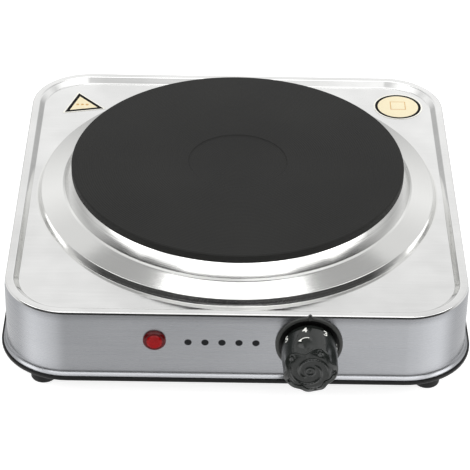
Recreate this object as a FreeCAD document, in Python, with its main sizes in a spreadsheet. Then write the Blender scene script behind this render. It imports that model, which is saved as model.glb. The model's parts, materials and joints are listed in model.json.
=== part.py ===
import FreeCAD, Part
import math
import os
import re

import Sketcher
from FreeCAD import Placement, Rotation, Vector

# Single-ring electric hot plate. Origin: centre of the base on the table, +Z up, front towards -Y.
# Every body is drawn about the vertical axis of the hot plate, and its Placement carries that axis to axis_y.

DIMENSIONS = {
    # whole appliance
    "axis_y": 6.0,
    "half_width": 122.5,
    "corner_radius": 34.3,
    "sheet_thickness": 0.7,
    "base_height": 12.0,
    # stainless housing
    "rim_height": 54.1,
    "rim_width": 4.7,
    "rim_slope": 3.0,
    "rim_inner_flat": 1.3,
    "deck_height": 51.3,
    "lip_height": 14.4,
    "lip_flare": 1.9,
    "flare_rise": 2.0,
    "rim_outer_round": 1.4,
    "rim_inner_round": 0.7,
    "platform_foot_radius": 111.5,
    "platform_step_radius": 109.6,
    "platform_step_height": 55.0,
    "step_inset": 0.5,
    "platform_top_radius": 97.0,
    "platform_top_height": 58.1,
    "seat_outer_radius": 94.0,
    "seat_radius": 87.2,
    "seat_height": 60.0,
    # base pan
    "pan_half_width": 125.5,
    "pan_thickness": 0.8,
    "pan_rim_width": 2.8,
    "pan_edge_radius": 1.0,
    "vent_length": 46.0,
    "vent_width": 4.0,
    "vent_pitch": 12.0,
    "vent_count": 7,
    # feet and their screws
    "foot_x": 102.0,
    "foot_y": 106.0,
    "foot_radius": 7.0,
    "foot_chamfer": 0.8,
    "foot_recess_radius": 4.0,
    "foot_recess_depth": 5.0,
    "screw_radius": 2.0,
    "screw_clearance": 0.15,
    "screw_head_radius": 3.6,
    "screw_head_height": 2.2,
    "screw_tip_height": 28.0,
    "post_radius": 4.0,
    # hot plate
    "plate_radius": 92.5,
    "plate_height": 70.5,
    "plate_side_height": 4.7,
    "plate_edge_radius": 0.9,
    "plate_step_radius": 90.0,
    "plate_flange_height": 61.0,
    "plate_web_height": 63.5,
    "plate_rib_bottom": 54.5,
    "plate_rib_radius": 85.5,
    "plate_rib_width": 4.5,
    "recess_radius": 27.0,
    "recess_depth": 0.5,
    "boss_radius": 9.0,
    "inner_groove_radius": 26.0,
    "groove_wall": 4.0,
    # spill ring
    "ring_thickness": 0.6,
    "ring_foot_radius": 97.05,
    "ring_foot_height": 58.2,
    "ring_shoulder_radius": 91.5,
    # plate clamp
    "gasket_width": 2.6,
    "stud_radius": 4.0,
    "stud_bottom": 37.0,
    "stud_top": 61.5,
    "bar_width": 22.0,
    "bar_thickness": 1.5,
    "bar_height": 44.0,
    "bar_half_length": 114.5,
    "bar_knee": 18.0,
    "bar_toe": 6.0,
    "washer_radius": 9.0,
    "washer_thickness": 1.6,
    "clamp_nut_flats": 13.0,
    "clamp_nut_height": 5.0,
    # heating element
    "coil_wire_radius": 2.6,
    "coil_height": 59.0,
    "coil_gap_angle": 30.0,
    "cover_thickness": 0.6,
    "shield_radius": 80.0,
    "shield_rim": 3.0,
    "shield_thickness": 0.5,
    "terminal_x": 64.0,
    "terminal_spacing": 12.0,
    "terminal_radius": 1.6,
    "terminal_bottom": 36.0,
    "block_length": 26.0,
    "block_depth": 12.0,
    "block_bottom": 47.5,
    "block_edge_radius": 1.5,
    # control
    "knob_x": 37.7,
    "knob_z": 36.5,
    "knob_radius": 14.4,
    "knob_neck_radius": 13.4,
    "knob_neck_end": 5.0,
    "knob_back": 1.7,
    "knob_front": 24.0,
    "knob_wall": 1.8,
    "knob_hub_radius": 5.6,
    "knob_face_thickness": 4.5,
    "knob_edge": 1.6,
    "flute_radius": 6.0,
    "flute_offset": 19.0,
    "flute_length": 9.0,
    "flute_count": 5,
    "flute_turn": 22.0,
    "bezel_radius": 17.5,
    "bezel_inner_radius": 15.6,
    "bezel_thickness": 1.4,
    "bezel_hole_radius": 8.4,
    "pointer_reach": 19.6,
    "pointer_root": 16.2,
    "pointer_half_width": 1.7,
    "spindle_radius": 3.0,
    "running_clearance": 0.05,
    "spindle_front": 18.0,
    "spindle_back": 22.0,
    "spindle_flat": 1.0,
    "spindle_flat_length": 11.0,
    "clip_half_width": 1.6,
    "clip_thickness": 0.5,
    "clip_length": 8.0,
    "collar_radius": 4.6,
    "collar_length": 2.0,
    # thermostat
    "bush_radius": 4.8,
    "bush_front": 4.2,
    "bush_back": 9.0,
    "bush_flange_radius": 7.0,
    "bush_flange_thickness": 1.6,
    "bush_nut_flats": 13.0,
    "bush_nut_height": 2.4,
    "frame_thickness": 1.2,
    "frame_width": 14.0,
    "frame_height": 8.0,
    "frame_tail": 8.0,
    "stack_depth": 40.0,
    "stack_offset": 20.0,
    "spacer_radius": 5.0,
    "spacer_thickness": 3.0,
    "strip_thickness": 0.8,
    "strip_width": 9.0,
    "rivet_radius": 1.6,
    "rivet_head_radius": 3.0,
    "rivet_head_height": 1.2,
    "strip_length": 30.0,
    "blade_step": 4.0,
    "strip_overhang": 5.0,
    "tip_radius": 1.8,
    "tip_setback": 4.0,
    # indicator lamp
    "lamp_x": -42.4,
    "lamp_z": 37.6,
    "lens_radius": 6.0,
    "lens_rise": 2.6,
    "lens_stem_radius": 4.6,
    "lens_depth": 14.0,
    "lens_wall": 1.0,
    "bulb_radius": 2.4,
    "bulb_length": 12.0,
    "lamp_clip_radius": 7.5,
    # labels on the deck
    "label_thickness": 0.15,
    "round_label_x": 95.9,
    "round_label_y": 92.6,
    "round_label_radius": 14.6,
    "triangle_x": -92.6,
    "triangle_y": 89.6,
    "triangle_radius": 15.0,
    "triangle_turn": 12.0,
    # supply inlet
    "gland_x": -60.0,
    "gland_z": 32.0,
    "gland_radius": 8.5,
    "gland_stem_radius": 6.0,
    "gland_bore_radius": 3.6,
    "gland_reach": 12.0,
    "gland_inside": 12.0,
    "gland_nut_flats": 16.0,
    "gland_nut_height": 4.0,
    "strip_x": -60.0,
    "strip_y": 92.0,
    "block_height": 14.0,
    "supply_block_length": 32.0,
    "supply_block_width": 16.0,
    "pole_spacing": 10.0,
    "well_radius": 2.2,
    "well_depth": 6.0,
    "terminal_screw_radius": 2.0,
    "terminal_screw_length": 4.0,
    "earth_x": -20.0,
    "earth_y": 100.0,
    "earth_tab_width": 8.0,
    "earth_tab_length": 14.0,
    "earth_tab_thickness": 0.8,
    "earth_head_radius": 3.6,
    "earth_head_height": 2.0,
    "lead_radius": 1.3,
}

doc = FreeCAD.newDocument("HotPlate")
sheet = doc.addObject("Spreadsheet::Sheet", "Dimensions")
for row, (alias, value) in enumerate(DIMENSIONS.items(), start=1):
    sheet.set(f"A{row}", alias)
    sheet.set(f"B{row}", str(value))
    sheet.setAlias(f"B{row}", alias)
doc.recompute()

subparts = []


# ---------------------------------------------------------------- helpers

def bound(expression):
    """The expression with each dimension name pointing at the spreadsheet."""
    return re.sub(r"[a-z_]{4,}", lambda word: word[0] if word[0] == "sqrt" else "Dimensions." + word[0],
                  str(expression))


def value(expression):
    """The number that an expression of dimension names gives."""
    return float(sheet.evalExpression(str(expression)))


def bind(item, prop, expression):
    """Ties a property to the spreadsheet."""
    item.setExpression(prop, bound(expression))


def new_body(name, x="0", y="0", z="0"):
    """A body whose own origin sits at x, y, z from the foot of the hot plate's axis."""
    body = doc.addObject("PartDesign::Body", name)
    body.Label = name
    bind(body, ".Placement.Base.x", x)
    bind(body, ".Placement.Base.y", f"axis_y + {y}")
    bind(body, ".Placement.Base.z", z)
    subparts.append(body)
    return body


def new_sketch(body, name, role, height="0"):
    """A sketch on one of the body's origin planes, or height above it along the plane's normal."""
    sketch = body.newObject("Sketcher::SketchObject", name)
    plane = next(item for item in body.Origin.OriginFeatures if item.Role == role)
    sketch.AttachmentSupport = [(plane, "")]
    sketch.MapMode = "FlatFace"
    if height != "0":
        bind(sketch, ".AttachmentOffset.Base.z", height)
    return sketch


def pin_down(sketch, geometry, vertex, x, y):
    """Holds a point of a sketch at x, y."""
    for kind, size in (("DistanceX", x), ("DistanceY", y)):
        number = sketch.addConstraint(Sketcher.Constraint(kind, -1, 1, geometry, vertex, value(size)))
        sketch.setExpression(f"Constraints[{number}]", bound(size))


def outline(sketch, corners):
    """A closed run of straight lines through corners."""
    first = sketch.GeometryCount
    count = len(corners)
    points = [Vector(value(x), value(y), 0) for x, y in corners]
    for i in range(count):
        sketch.addGeometry(Part.LineSegment(points[i], points[(i + 1) % count]))
    for i in range(count):
        sketch.addConstraint(Sketcher.Constraint("Coincident", first + i, 2, first + (i + 1) % count, 1))
    for i, (x, y) in enumerate(corners):
        pin_down(sketch, first + i, 1, x, y)


def rectangle(sketch, x, y, width, depth):
    """A rectangle centred on x, y."""
    left, right = f"{x} - {width} / 2", f"{x} + {width} / 2"
    low, high = f"{y} - {depth} / 2", f"{y} + {depth} / 2"
    outline(sketch, [(left, low), (right, low), (right, high), (left, high)])


def circle(sketch, x, y, radius):
    """A circle about x, y."""
    number = sketch.addGeometry(Part.Circle(Vector(value(x), value(y), 0), Vector(0, 0, 1), value(radius)))
    pin_down(sketch, number, 3, x, y)
    size = sketch.addConstraint(Sketcher.Constraint("Radius", number, value(radius)))
    sketch.setExpression(f"Constraints[{size}]", bound(radius))


def hexagon(sketch, flats):
    """A hexagon about the origin, measured across its flats."""
    corner = f"({flats}) / sqrt(3)"
    outline(sketch, [(f"{corner} * {math.cos(math.radians(60 * k)):.6f}",
                      f"{corner} * {math.sin(math.radians(60 * k)):.6f}") for k in range(6)])


def rounded_square(sketch, half, radius):
    """A closed square of the given half width with round corners, starting in the middle of its +X side."""
    h, r = value(half), value(radius)
    s = h - r

    def corner(x, y, start):
        ring = Part.Circle(Vector(x, y, 0), Vector(0, 0, 1), r)
        return Part.ArcOfCircle(ring, math.radians(start), math.radians(start + 90))

    runs = [
        Part.LineSegment(Vector(h, 0, 0), Vector(h, s, 0)), corner(s, s, 0),
        Part.LineSegment(Vector(s, h, 0), Vector(-s, h, 0)), corner(-s, s, 90),
        Part.LineSegment(Vector(-h, s, 0), Vector(-h, -s, 0)), corner(-s, -s, 180),
        Part.LineSegment(Vector(-s, -h, 0), Vector(s, -h, 0)), corner(s, -s, 270),
        Part.LineSegment(Vector(h, -s, 0), Vector(h, 0, 0)),
    ]
    for run in runs:
        sketch.addGeometry(run)
    for i in range(len(runs) - 1):
        sketch.addConstraint(Sketcher.Constraint("Tangent", i, 2, i + 1, 1))
    sketch.addConstraint(Sketcher.Constraint("Coincident", len(runs) - 1, 2, 0, 1))
    pin_down(sketch, 0, 1, half, "0")
    for line in (0, 4, 8):
        sketch.addConstraint(Sketcher.Constraint("Vertical", line))
    for line in (2, 6):
        sketch.addConstraint(Sketcher.Constraint("Horizontal", line))
    for arc in (3, 5, 7):
        sketch.addConstraint(Sketcher.Constraint("Equal", 1, arc))
    sized = ((Sketcher.Constraint("Radius", 1, r), radius),
             (Sketcher.Constraint("DistanceY", -1, 1, 2, 1, h), half),
             (Sketcher.Constraint("DistanceX", 4, 1, -1, 1, h), half),
             (Sketcher.Constraint("DistanceY", 6, 1, -1, 1, h), half))
    for constraint, size in sized:
        number = sketch.addConstraint(constraint)
        sketch.setExpression(f"Constraints[{number}]", bound(size))
    return len(runs)


def finish(body, feature):
    """Makes feature the body's result."""
    doc.recompute()
    body.Tip = feature
    doc.recompute()
    return feature


def revolution(body, name, role, corners, axis="V_Axis"):
    """A solid turned about one of its sketch's axes."""
    sketch = new_sketch(body, name + "Profile", role)
    outline(sketch, corners)
    turned = body.newObject("PartDesign::Revolution", name)
    turned.Profile = (sketch, [""])
    turned.ReferenceAxis = (sketch, [axis])
    turned.Angle = 360.0
    return finish(body, turned)


def pad(body, name, sketch, length, reverse=False):
    """A straight extrusion of a sketch."""
    sketch.Visibility = False
    raised = body.newObject("PartDesign::Pad", name)
    raised.Profile = (sketch, [""])
    bind(raised, "Length", length)
    raised.Reversed = reverse
    return finish(body, raised)


def pocket(body, name, sketch, length, reverse=False):
    """A straight cut by a sketch, which has to remove something."""
    before = body.Shape.Volume
    cut = body.newObject("PartDesign::Pocket", name)
    cut.Profile = (sketch, [""])
    bind(cut, "Length", length)
    cut.Reversed = reverse
    finish(body, cut)
    if not body.Shape.Volume < before - 1e-3:
        raise RuntimeError(f"{body.Label}: {name} removes nothing")
    return cut


def ring_pattern(body, name, feature, role, count):
    """Repeats a feature evenly round the normal of an origin axis."""
    pattern = body.newObject("PartDesign::PolarPattern", name)
    pattern.Originals = [feature]
    axis = next(item for item in body.Origin.OriginFeatures if item.Role == role)
    pattern.Axis = (axis, [""])
    pattern.Angle = 360.0
    bind(pattern, "Occurrences", count)
    return finish(body, pattern)


def four_corners(body, name, feature):
    """Repeats a feature in all four quadrants."""
    both = body.newObject("PartDesign::MultiTransform", name)
    both.Originals = [feature]
    mirrors = []
    for role in ("YZ_Plane", "XZ_Plane"):
        mirror = body.newObject("PartDesign::Mirrored", name + role[:2])
        mirror.MirrorPlane = (next(p for p in body.Origin.OriginFeatures if p.Role == role), [""])
        mirrors.append(mirror)
    both.Transformations = mirrors
    return finish(body, both)


def edges_where(shape, test):
    """Names of the edges whose middle point passes the test."""
    names = []
    for number, edge in enumerate(shape.Edges, start=1):
        middle = edge.valueAt((edge.FirstParameter + edge.LastParameter) / 2)
        if test(middle):
            names.append(f"Edge{number}")
    return names


def fillet(body, name, radius, test):
    """Rounds the edges of the body that pass the test."""
    base = body.Tip
    rounded = body.newObject("PartDesign::Fillet", name)
    rounded.Base = (base, edges_where(base.Shape, test))
    bind(rounded, "Radius", radius)
    return finish(body, rounded)


def feature(name, shape):
    """A sub-part whose shape comes straight from Part's own functions."""
    item = doc.addObject("Part::Feature", name)
    item.Label = name
    item.Shape = shape
    item.Placement = Placement(Vector(0, value("axis_y"), 0), Rotation())
    subparts.append(item)
    return item


def near(number, expression, tolerance=0.02):
    return abs(number - value(expression)) < tolerance


# ---------------------------------------------------------------- housing

def housing_shell():
    """Pressed stainless cover: raised rim, sunk deck, domed platform with the seat of the hot plate."""
    body = new_body("housing_shell")
    path = new_sketch(body, "RimPath", "XY_Plane")
    runs = rounded_square(path, "half_width", "corner_radius")
    section = new_sketch(body, "RimSection", "XZ_Plane")
    t = "sheet_thickness"
    out = "half_width"
    rim_in = "(half_width - rim_width)"
    slope_in = "(half_width - rim_width - rim_slope)"
    deck_in = "(half_width - rim_width - rim_slope - rim_inner_flat)"
    outline(section, [
        (deck_in, "deck_height"), (slope_in, "deck_height"), (rim_in, "rim_height"), (out, "rim_height"),
        (out, "lip_height + flare_rise"), (f"{out} + lip_flare", "lip_height + 0.7"),
        (f"{out} + lip_flare", "lip_height"), (f"{out} + lip_flare - {t}", "lip_height"),
        (f"{out} + lip_flare - {t}", "lip_height + 0.45"), (f"{out} - {t}", "lip_height + flare_rise - 0.2"),
        (f"{out} - {t}", f"rim_height - {t}"), (f"{rim_in} + 0.3", f"rim_height - {t}"),
        (f"{slope_in} + 0.3", f"deck_height - {t}"), (deck_in, f"deck_height - {t}"),
    ])
    rim = body.newObject("PartDesign::AdditivePipe", "Rim")
    rim.Profile = (section, [""])
    rim.Spine = (path, [f"Edge{i + 1}" for i in range(runs)])
    finish(body, rim)

    deck_sketch = new_sketch(body, "DeckOutline", "XY_Plane", f"deck_height - {t}")
    rounded_square(deck_sketch, deck_in, "corner_radius - rim_width - rim_slope - rim_inner_flat")
    circle(deck_sketch, "0", "0", "platform_foot_radius + 0.8")
    pad(body, "Deck", deck_sketch, t)

    revolution(body, "Platform", "XZ_Plane", [
        ("platform_foot_radius + 1.2", "deck_height"), ("platform_foot_radius", "deck_height"),
        ("platform_step_radius", "platform_step_height"), ("platform_top_radius", "platform_top_height"),
        ("seat_outer_radius", "seat_height"), ("seat_radius", "seat_height"),
        ("seat_radius", f"seat_height - {t}"), ("seat_outer_radius - 0.3", f"seat_height - {t}"),
        ("platform_top_radius - 0.35", f"platform_top_height - {t}"),
        ("platform_step_radius - step_inset", f"platform_step_height - {t}"),
        ("platform_foot_radius - step_inset", f"deck_height - {t}"),
        ("platform_foot_radius + 1.2", f"deck_height - {t}"),
    ])
    fillet(body, "RimOuterRound", "rim_outer_round",
           lambda p: near(p.z, "rim_height") and is_outer(p, "half_width"))
    fillet(body, "RimInnerRound", "rim_inner_round",
           lambda p: near(p.z, f"rim_height - {t}") and is_outer(p, f"half_width - {t}"))

    front = new_sketch(body, "FrontHoles", "XZ_Plane", "half_width - 3")
    circle(front, "knob_x", "knob_z", "bush_radius + screw_clearance")
    circle(front, "lamp_x", "lamp_z", "lens_stem_radius + screw_clearance")
    pocket(body, "FrontOpenings", front, "6", reverse=True)
    rear = new_sketch(body, "RearHole", "XZ_Plane", "-half_width - 3")
    circle(rear, "gland_x", "gland_z", "gland_stem_radius + screw_clearance")
    pocket(body, "RearOpening", rear, "6", reverse=True)


def is_outer(point, half):
    """True for a point on a rounded square of the given half width."""
    h = value(half)
    r = value("corner_radius") - (value("half_width") - h)
    x, y = max(abs(point.x) - (h - r), 0), max(abs(point.y) - (h - r), 0)
    return abs(math.hypot(x, y) - r) < 0.05 and max(abs(point.x), abs(point.y)) < h + 0.05


def base_pan():
    """Black enamelled tray that closes the housing from below, with a hemmed rim and vent slots."""
    body = new_body("base_pan")
    sketch = new_sketch(body, "PanOutline", "XY_Plane", "base_height")
    rounded_square(sketch, "pan_half_width", "corner_radius + 3")
    pad(body, "Pan", sketch, "lip_height - base_height")
    hollow = new_sketch(body, "PanHollow", "XY_Plane", "lip_height")
    rounded_square(hollow, "pan_half_width - pan_rim_width", "corner_radius + 3 - pan_rim_width")
    pocket(body, "PanInside", hollow, "lip_height - base_height - pan_thickness")
    fillet(body, "PanEdge", "pan_edge_radius", lambda p: near(p.z, "base_height"))
    holes = new_sketch(body, "FootHoles", "XY_Plane", "base_height + 2")
    for sx in ("", "-"):
        for sy in ("", "-"):
            circle(holes, f"{sx}foot_x", f"{sy}foot_y", "screw_radius + screw_clearance")
    pocket(body, "ScrewHoles", holes, "4")
    slot = new_sketch(body, "VentSlot", "XY_Plane", "base_height + 2")
    first = "-vent_pitch * (vent_count - 1) / 2"
    rectangle(slot, "0", first, "vent_length", "vent_width")
    vent = pocket(body, "Vent", slot, "4")
    row = body.newObject("PartDesign::LinearPattern", "VentRow")
    row.Originals = [vent]
    row.Direction = (next(p for p in body.Origin.OriginFeatures if p.Role == "Y_Axis"), [""])
    bind(row, "Length", "vent_pitch * (vent_count - 1)")
    bind(row, "Occurrences", "vent_count")
    finish(body, row)


def feet():
    """Four round rubber feet, each with a screw recess in its sole."""
    hole = "screw_radius + screw_clearance"
    for name, x, y in (("foot_front_left", "-foot_x", "-foot_y"), ("foot_front_right", "foot_x", "-foot_y"),
                       ("foot_rear_left", "-foot_x", "foot_y"), ("foot_rear_right", "foot_x", "foot_y")):
        body = new_body(name, x, y)
        revolution(body, "Foot", "XZ_Plane", [
            ("foot_recess_radius", "0"), ("foot_radius - foot_chamfer", "0"), ("foot_radius", "foot_chamfer"),
            ("foot_radius", "base_height"), (hole, "base_height"),
            (hole, "foot_recess_depth"), ("foot_recess_radius", "foot_recess_depth"),
        ])


def foot_screws():
    """Four pan-head screws, up through the feet and the pan into the posts."""
    body = new_body("foot_screws")
    sketch = new_sketch(body, "ScrewProfile", "XZ_Plane", "foot_y")
    middle, shank = "foot_x", "foot_x + screw_radius"
    head, under_head = "foot_x + screw_head_radius", "foot_recess_depth - screw_head_height"
    outline(sketch, [
        (middle, under_head), (head, under_head), (head, "foot_recess_depth"), (shank, "foot_recess_depth"),
        (shank, "screw_tip_height - 1"), (f"{shank} - 1", "screw_tip_height"), (middle, "screw_tip_height"),
    ])
    turn_about_side(body, sketch)


def corner_posts():
    """Four tapped steel posts spot-welded under the deck, which the foot screws pull on."""
    body = new_body("corner_posts")
    sketch = new_sketch(body, "PostProfile", "XZ_Plane", "foot_y")
    bore = "screw_radius + running_clearance"
    low, high = "base_height + pan_thickness", "deck_height - sheet_thickness"
    outline(sketch, [
        (f"foot_x + {bore}", low), ("foot_x + post_radius", low), ("foot_x + post_radius", high),
        (f"foot_x + {bore}", high),
    ])
    x = value("foot_x")
    axis = sketch.addGeometry(Part.LineSegment(Vector(x, 0, 0), Vector(x, 10, 0)), True)
    pin_down(sketch, axis, 1, "foot_x", "0")
    pin_down(sketch, axis, 2, "foot_x", "10")
    turn_about_side(body, sketch, "Axis0")


def turn_about_side(body, sketch, axis="Edge7"):
    """Turns a profile about its own upright line and repeats it in the four corners."""
    turned = body.newObject("PartDesign::Revolution", "Turned")
    turned.Profile = (sketch, [""])
    turned.ReferenceAxis = (sketch, [axis])
    turned.Angle = 360.0
    finish(body, turned)
    four_corners(body, "Corners", turned)


# ---------------------------------------------------------------- hot plate and its clamp

def hot_plate():
    """Cast-iron plate: flat top with a shallow centre recess, ribs and grooves for the coils below."""
    body = new_body("hot_plate")
    web, bottom = "plate_web_height", "plate_rib_bottom"
    walls = groove_walls()
    corners = [
        ("0", "plate_height - recess_depth"), ("recess_radius", "plate_height - recess_depth"),
        ("recess_radius + 0.6", "plate_height"), ("plate_radius", "plate_height"),
        ("plate_radius", "plate_height - plate_side_height"),
        ("plate_step_radius", "plate_height - plate_side_height"),
        ("plate_step_radius", "plate_flange_height"), ("plate_rib_radius", "plate_flange_height"),
    ]
    for inner, outer in reversed(walls):
        if outer != "plate_rib_radius":
            corners.append((outer, web))
        corners += [(outer, bottom), (inner, bottom), (inner, web)]
    corners += [("boss_radius", web), ("boss_radius", bottom), ("0", bottom)]
    revolution(body, "Casting", "XZ_Plane", corners)
    fillet(body, "TopEdge", "plate_edge_radius",
           lambda p: near(p.z, "plate_height") and near(math.hypot(p.x, p.y), "plate_radius"))
    hole = new_sketch(body, "StudHole", "XY_Plane", bottom)
    circle(hole, "0", "0", "stud_radius")
    pocket(body, "StudBore", hole, "stud_top - plate_rib_bottom + 1", reverse=True)


def groove_walls():
    """Inner and outer radius of each round wall between the coil grooves, from the middle out."""
    first = "inner_groove_radius"
    inner_of_last = "(plate_rib_radius - plate_rib_width)"
    pitch = f"(({inner_of_last} - {first} - groove_wall) / 3)"
    walls = [(f"{first} + {k} * {pitch}", f"{first} + {k} * {pitch} + groove_wall") for k in range(3)]
    walls.append((inner_of_last, "plate_rib_radius"))
    return walls


def grooves():
    """Inner and outer radius of each coil groove."""
    walls = groove_walls()
    return [(walls[k][1], walls[k + 1][0]) for k in range(3)]


def spill_ring():
    """Polished stainless ring under the plate's edge, which sheds spills over the seat."""
    body = new_body("spill_ring")
    t = "ring_thickness"
    top = "plate_height - plate_side_height"
    revolution(body, "Ring", "XZ_Plane", [
        ("plate_step_radius + 0.1", top), ("ring_shoulder_radius", top),
        ("ring_foot_radius", "ring_foot_height"),
        (f"ring_foot_radius - {t} - 0.15", "ring_foot_height + 0.4"),
        (f"ring_shoulder_radius - {t}", f"{top} - {t}"), ("plate_step_radius + 0.1", f"{top} - {t}"),
    ])


def plate_clamp():
    """Gasket under the plate's flange, and the stud, bar, washer and nut that pull it down on the deck."""
    body = new_body("plate_gasket")
    inner = "seat_radius + 0.1"
    revolution(body, "Gasket", "XZ_Plane", [
        (inner, "seat_height"), (f"{inner} + gasket_width", "seat_height"),
        (f"{inner} + gasket_width", "plate_flange_height"), (inner, "plate_flange_height"),
    ])

    body = new_body("plate_stud")
    r = "stud_radius - 0.03"
    revolution(body, "Stud", "XZ_Plane", [
        ("0", "stud_bottom"), (f"{r} - 0.8", "stud_bottom"), (r, "stud_bottom + 0.8"), (r, "stud_top - 0.8"),
        (f"{r} - 0.8", "stud_top"), ("0", "stud_top"),
    ])

    body = new_body("clamp_bar")
    side = new_sketch(body, "BarSide", "YZ_Plane", "-bar_width / 2")
    low, high = "bar_height", "bar_height + bar_thickness"
    end, end_low = "bar_half_length", "deck_height - sheet_thickness - bar_thickness"
    knee, toe = "bar_half_length - bar_knee", "bar_half_length - bar_toe"
    outline(side, [
        (f"-({end})", f"{end_low} + bar_thickness"), (f"-({end})", end_low), (f"-({toe})", end_low),
        (f"-({knee})", low), (knee, low), (toe, end_low), (end, end_low), (end, f"{end_low} + bar_thickness"),
        (f"{toe} - 0.6", f"{end_low} + bar_thickness"), (f"{knee} - 0.6", high), (f"-({knee}) + 0.6", high),
        (f"-({toe}) + 0.6", f"{end_low} + bar_thickness"),
    ])
    pad(body, "Bar", side, "bar_width")
    hole = new_sketch(body, "BarHole", "XY_Plane", "bar_height - 2")
    circle(hole, "0", "0", "stud_radius + 0.3")
    pocket(body, "BarBore", hole, "bar_thickness + 4", reverse=True)

    body = new_body("clamp_washer")
    bore, low = "stud_radius + 0.3", "bar_height - washer_thickness"
    revolution(body, "Washer", "XZ_Plane", [
        (bore, low), ("washer_radius", low), ("washer_radius", "bar_height"), (bore, "bar_height"),
    ])
    body = new_body("clamp_nut", z="bar_height - washer_thickness - clamp_nut_height")
    hex_nut(body, "XY_Plane", "clamp_nut_flats", "stud_radius + 0.02", "clamp_nut_height")


def hex_nut(body, role, flats, bore, height):
    """A hexagon nut standing on its sketch plane."""
    sketch = new_sketch(body, "NutOutline", role)
    hexagon(sketch, flats)
    circle(sketch, "0", "0", bore)
    pad(body, "Nut", sketch, height)


# ---------------------------------------------------------------- heating element

def heating_element():
    """Open rings of coiled resistance wire, each bedded in magnesia in its groove."""
    coils = []
    fills = []
    for inner, outer in grooves():
        middle = (value(inner) + value(outer)) / 2
        gap = value("coil_gap_angle")
        coil = Part.makeTorus(middle, value("coil_wire_radius"), Vector(0, 0, value("coil_height")),
                              Vector(0, 0, 1), -180, 180, 360 - gap)
        coil.rotate(Vector(0, 0, 0), Vector(0, 0, 1), gap / 2)
        low, depth = value("plate_rib_bottom"), value("plate_web_height - plate_rib_bottom")
        bed = Part.makeCylinder(value(outer), depth, Vector(0, 0, low))
        bed = bed.cut(Part.makeCylinder(value(inner), depth, Vector(0, 0, low)))
        coils.append(coil)
        fills.append(bed.cut(coil))
    feature("heating_coils", Part.makeCompound(coils))
    feature("magnesia_fill", Part.makeCompound(fills))

    body = new_body("element_cover")
    revolution(body, "Cover", "XZ_Plane", [
        ("boss_radius + 3", "plate_rib_bottom - cover_thickness"),
        ("plate_rib_radius", "plate_rib_bottom - cover_thickness"), ("plate_rib_radius", "plate_rib_bottom"),
        ("boss_radius + 3", "plate_rib_bottom"),
    ])
    holes = new_sketch(body, "TerminalHoles", "XY_Plane", "plate_rib_bottom - 2")
    for y in TERMINAL_PLACES:
        circle(holes, "terminal_x", y, "terminal_radius + screw_clearance")
    pocket(body, "TerminalBores", holes, "4", reverse=True)

    body = new_body("terminal_insulator", "terminal_x", "0", "block_bottom")
    sketch = new_sketch(body, "BlockOutline", "XY_Plane")
    rectangle(sketch, "0", "0", "block_depth", "block_length")
    for y in TERMINAL_PLACES:
        circle(sketch, "0", y, "terminal_radius + running_clearance")
    pad(body, "Block", sketch, "plate_rib_bottom - cover_thickness - block_bottom")
    fillet(body, "BlockEdges", "block_edge_radius",
           lambda p: near(abs(p.x), "block_depth / 2") and near(abs(p.y), "block_length / 2"))

    pins = [Part.makeCylinder(value("terminal_radius"), value("plate_rib_bottom - terminal_bottom"),
                              Vector(value("terminal_x"), value(y), value("terminal_bottom")))
            for y in TERMINAL_PLACES]
    feature("element_terminals", Part.makeCompound(pins))

    body = new_body("heat_shield")
    level = "bar_height + bar_thickness"
    revolution(body, "Shield", "XZ_Plane", [
        ("stud_radius + 1.5", level), ("shield_radius", level), ("shield_radius", f"{level} + shield_rim"),
        ("shield_radius - shield_thickness", f"{level} + shield_rim"),
        ("shield_radius - shield_thickness", f"{level} + shield_thickness"),
        ("stud_radius + 1.5", f"{level} + shield_thickness"),
    ])
    window = new_sketch(body, "TerminalWindow", "XY_Plane", f"{level} - 2")
    rectangle(window, "terminal_x", "0", "(block_depth + 4)", "(block_length + 4)")
    pocket(body, "Window", window, "4", reverse=True)


TERMINAL_PLACES = ("-terminal_spacing / 2", "terminal_spacing / 2")


# ---------------------------------------------------------------- control

def control_knob():
    """Moulded knob: narrow neck, round barrel, five finger flutes at the front, hollow behind its face."""
    body = new_body("control_knob", "knob_x", "-half_width", "knob_z")
    bore = "spindle_radius + running_clearance"
    revolution(body, "Barrel", "XY_Plane", [
        ("knob_neck_radius", "-knob_back"), ("knob_neck_radius", "-knob_neck_end"),
        ("knob_radius", "-knob_neck_end - 0.6"), ("knob_radius", "-knob_front + knob_edge"),
        ("knob_radius - knob_edge", "-knob_front"), ("0", "-knob_front"),
        ("0", "-spindle_front - 0.3"), (bore, "-spindle_front - 0.3"), (bore, "-knob_neck_end - 1.5"),
        ("knob_hub_radius", "-knob_neck_end - 1.5"), ("knob_hub_radius", "-knob_front + knob_face_thickness"),
        ("knob_neck_radius - knob_wall", "-knob_front + knob_face_thickness"),
        ("knob_neck_radius - knob_wall", "-knob_back"),
    ])
    cutter = new_sketch(body, "Flute", "XZ_Plane", "knob_front + 1")
    circle(cutter, "-flute_offset * sin(flute_turn * 1 deg)", "-flute_offset * cos(flute_turn * 1 deg)",
           "flute_radius")
    flute = pocket(body, "FingerFlute", cutter, "flute_length + 1")
    ring_pattern(body, "FingerFlutes", flute, "Y_Axis", "flute_count")


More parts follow.
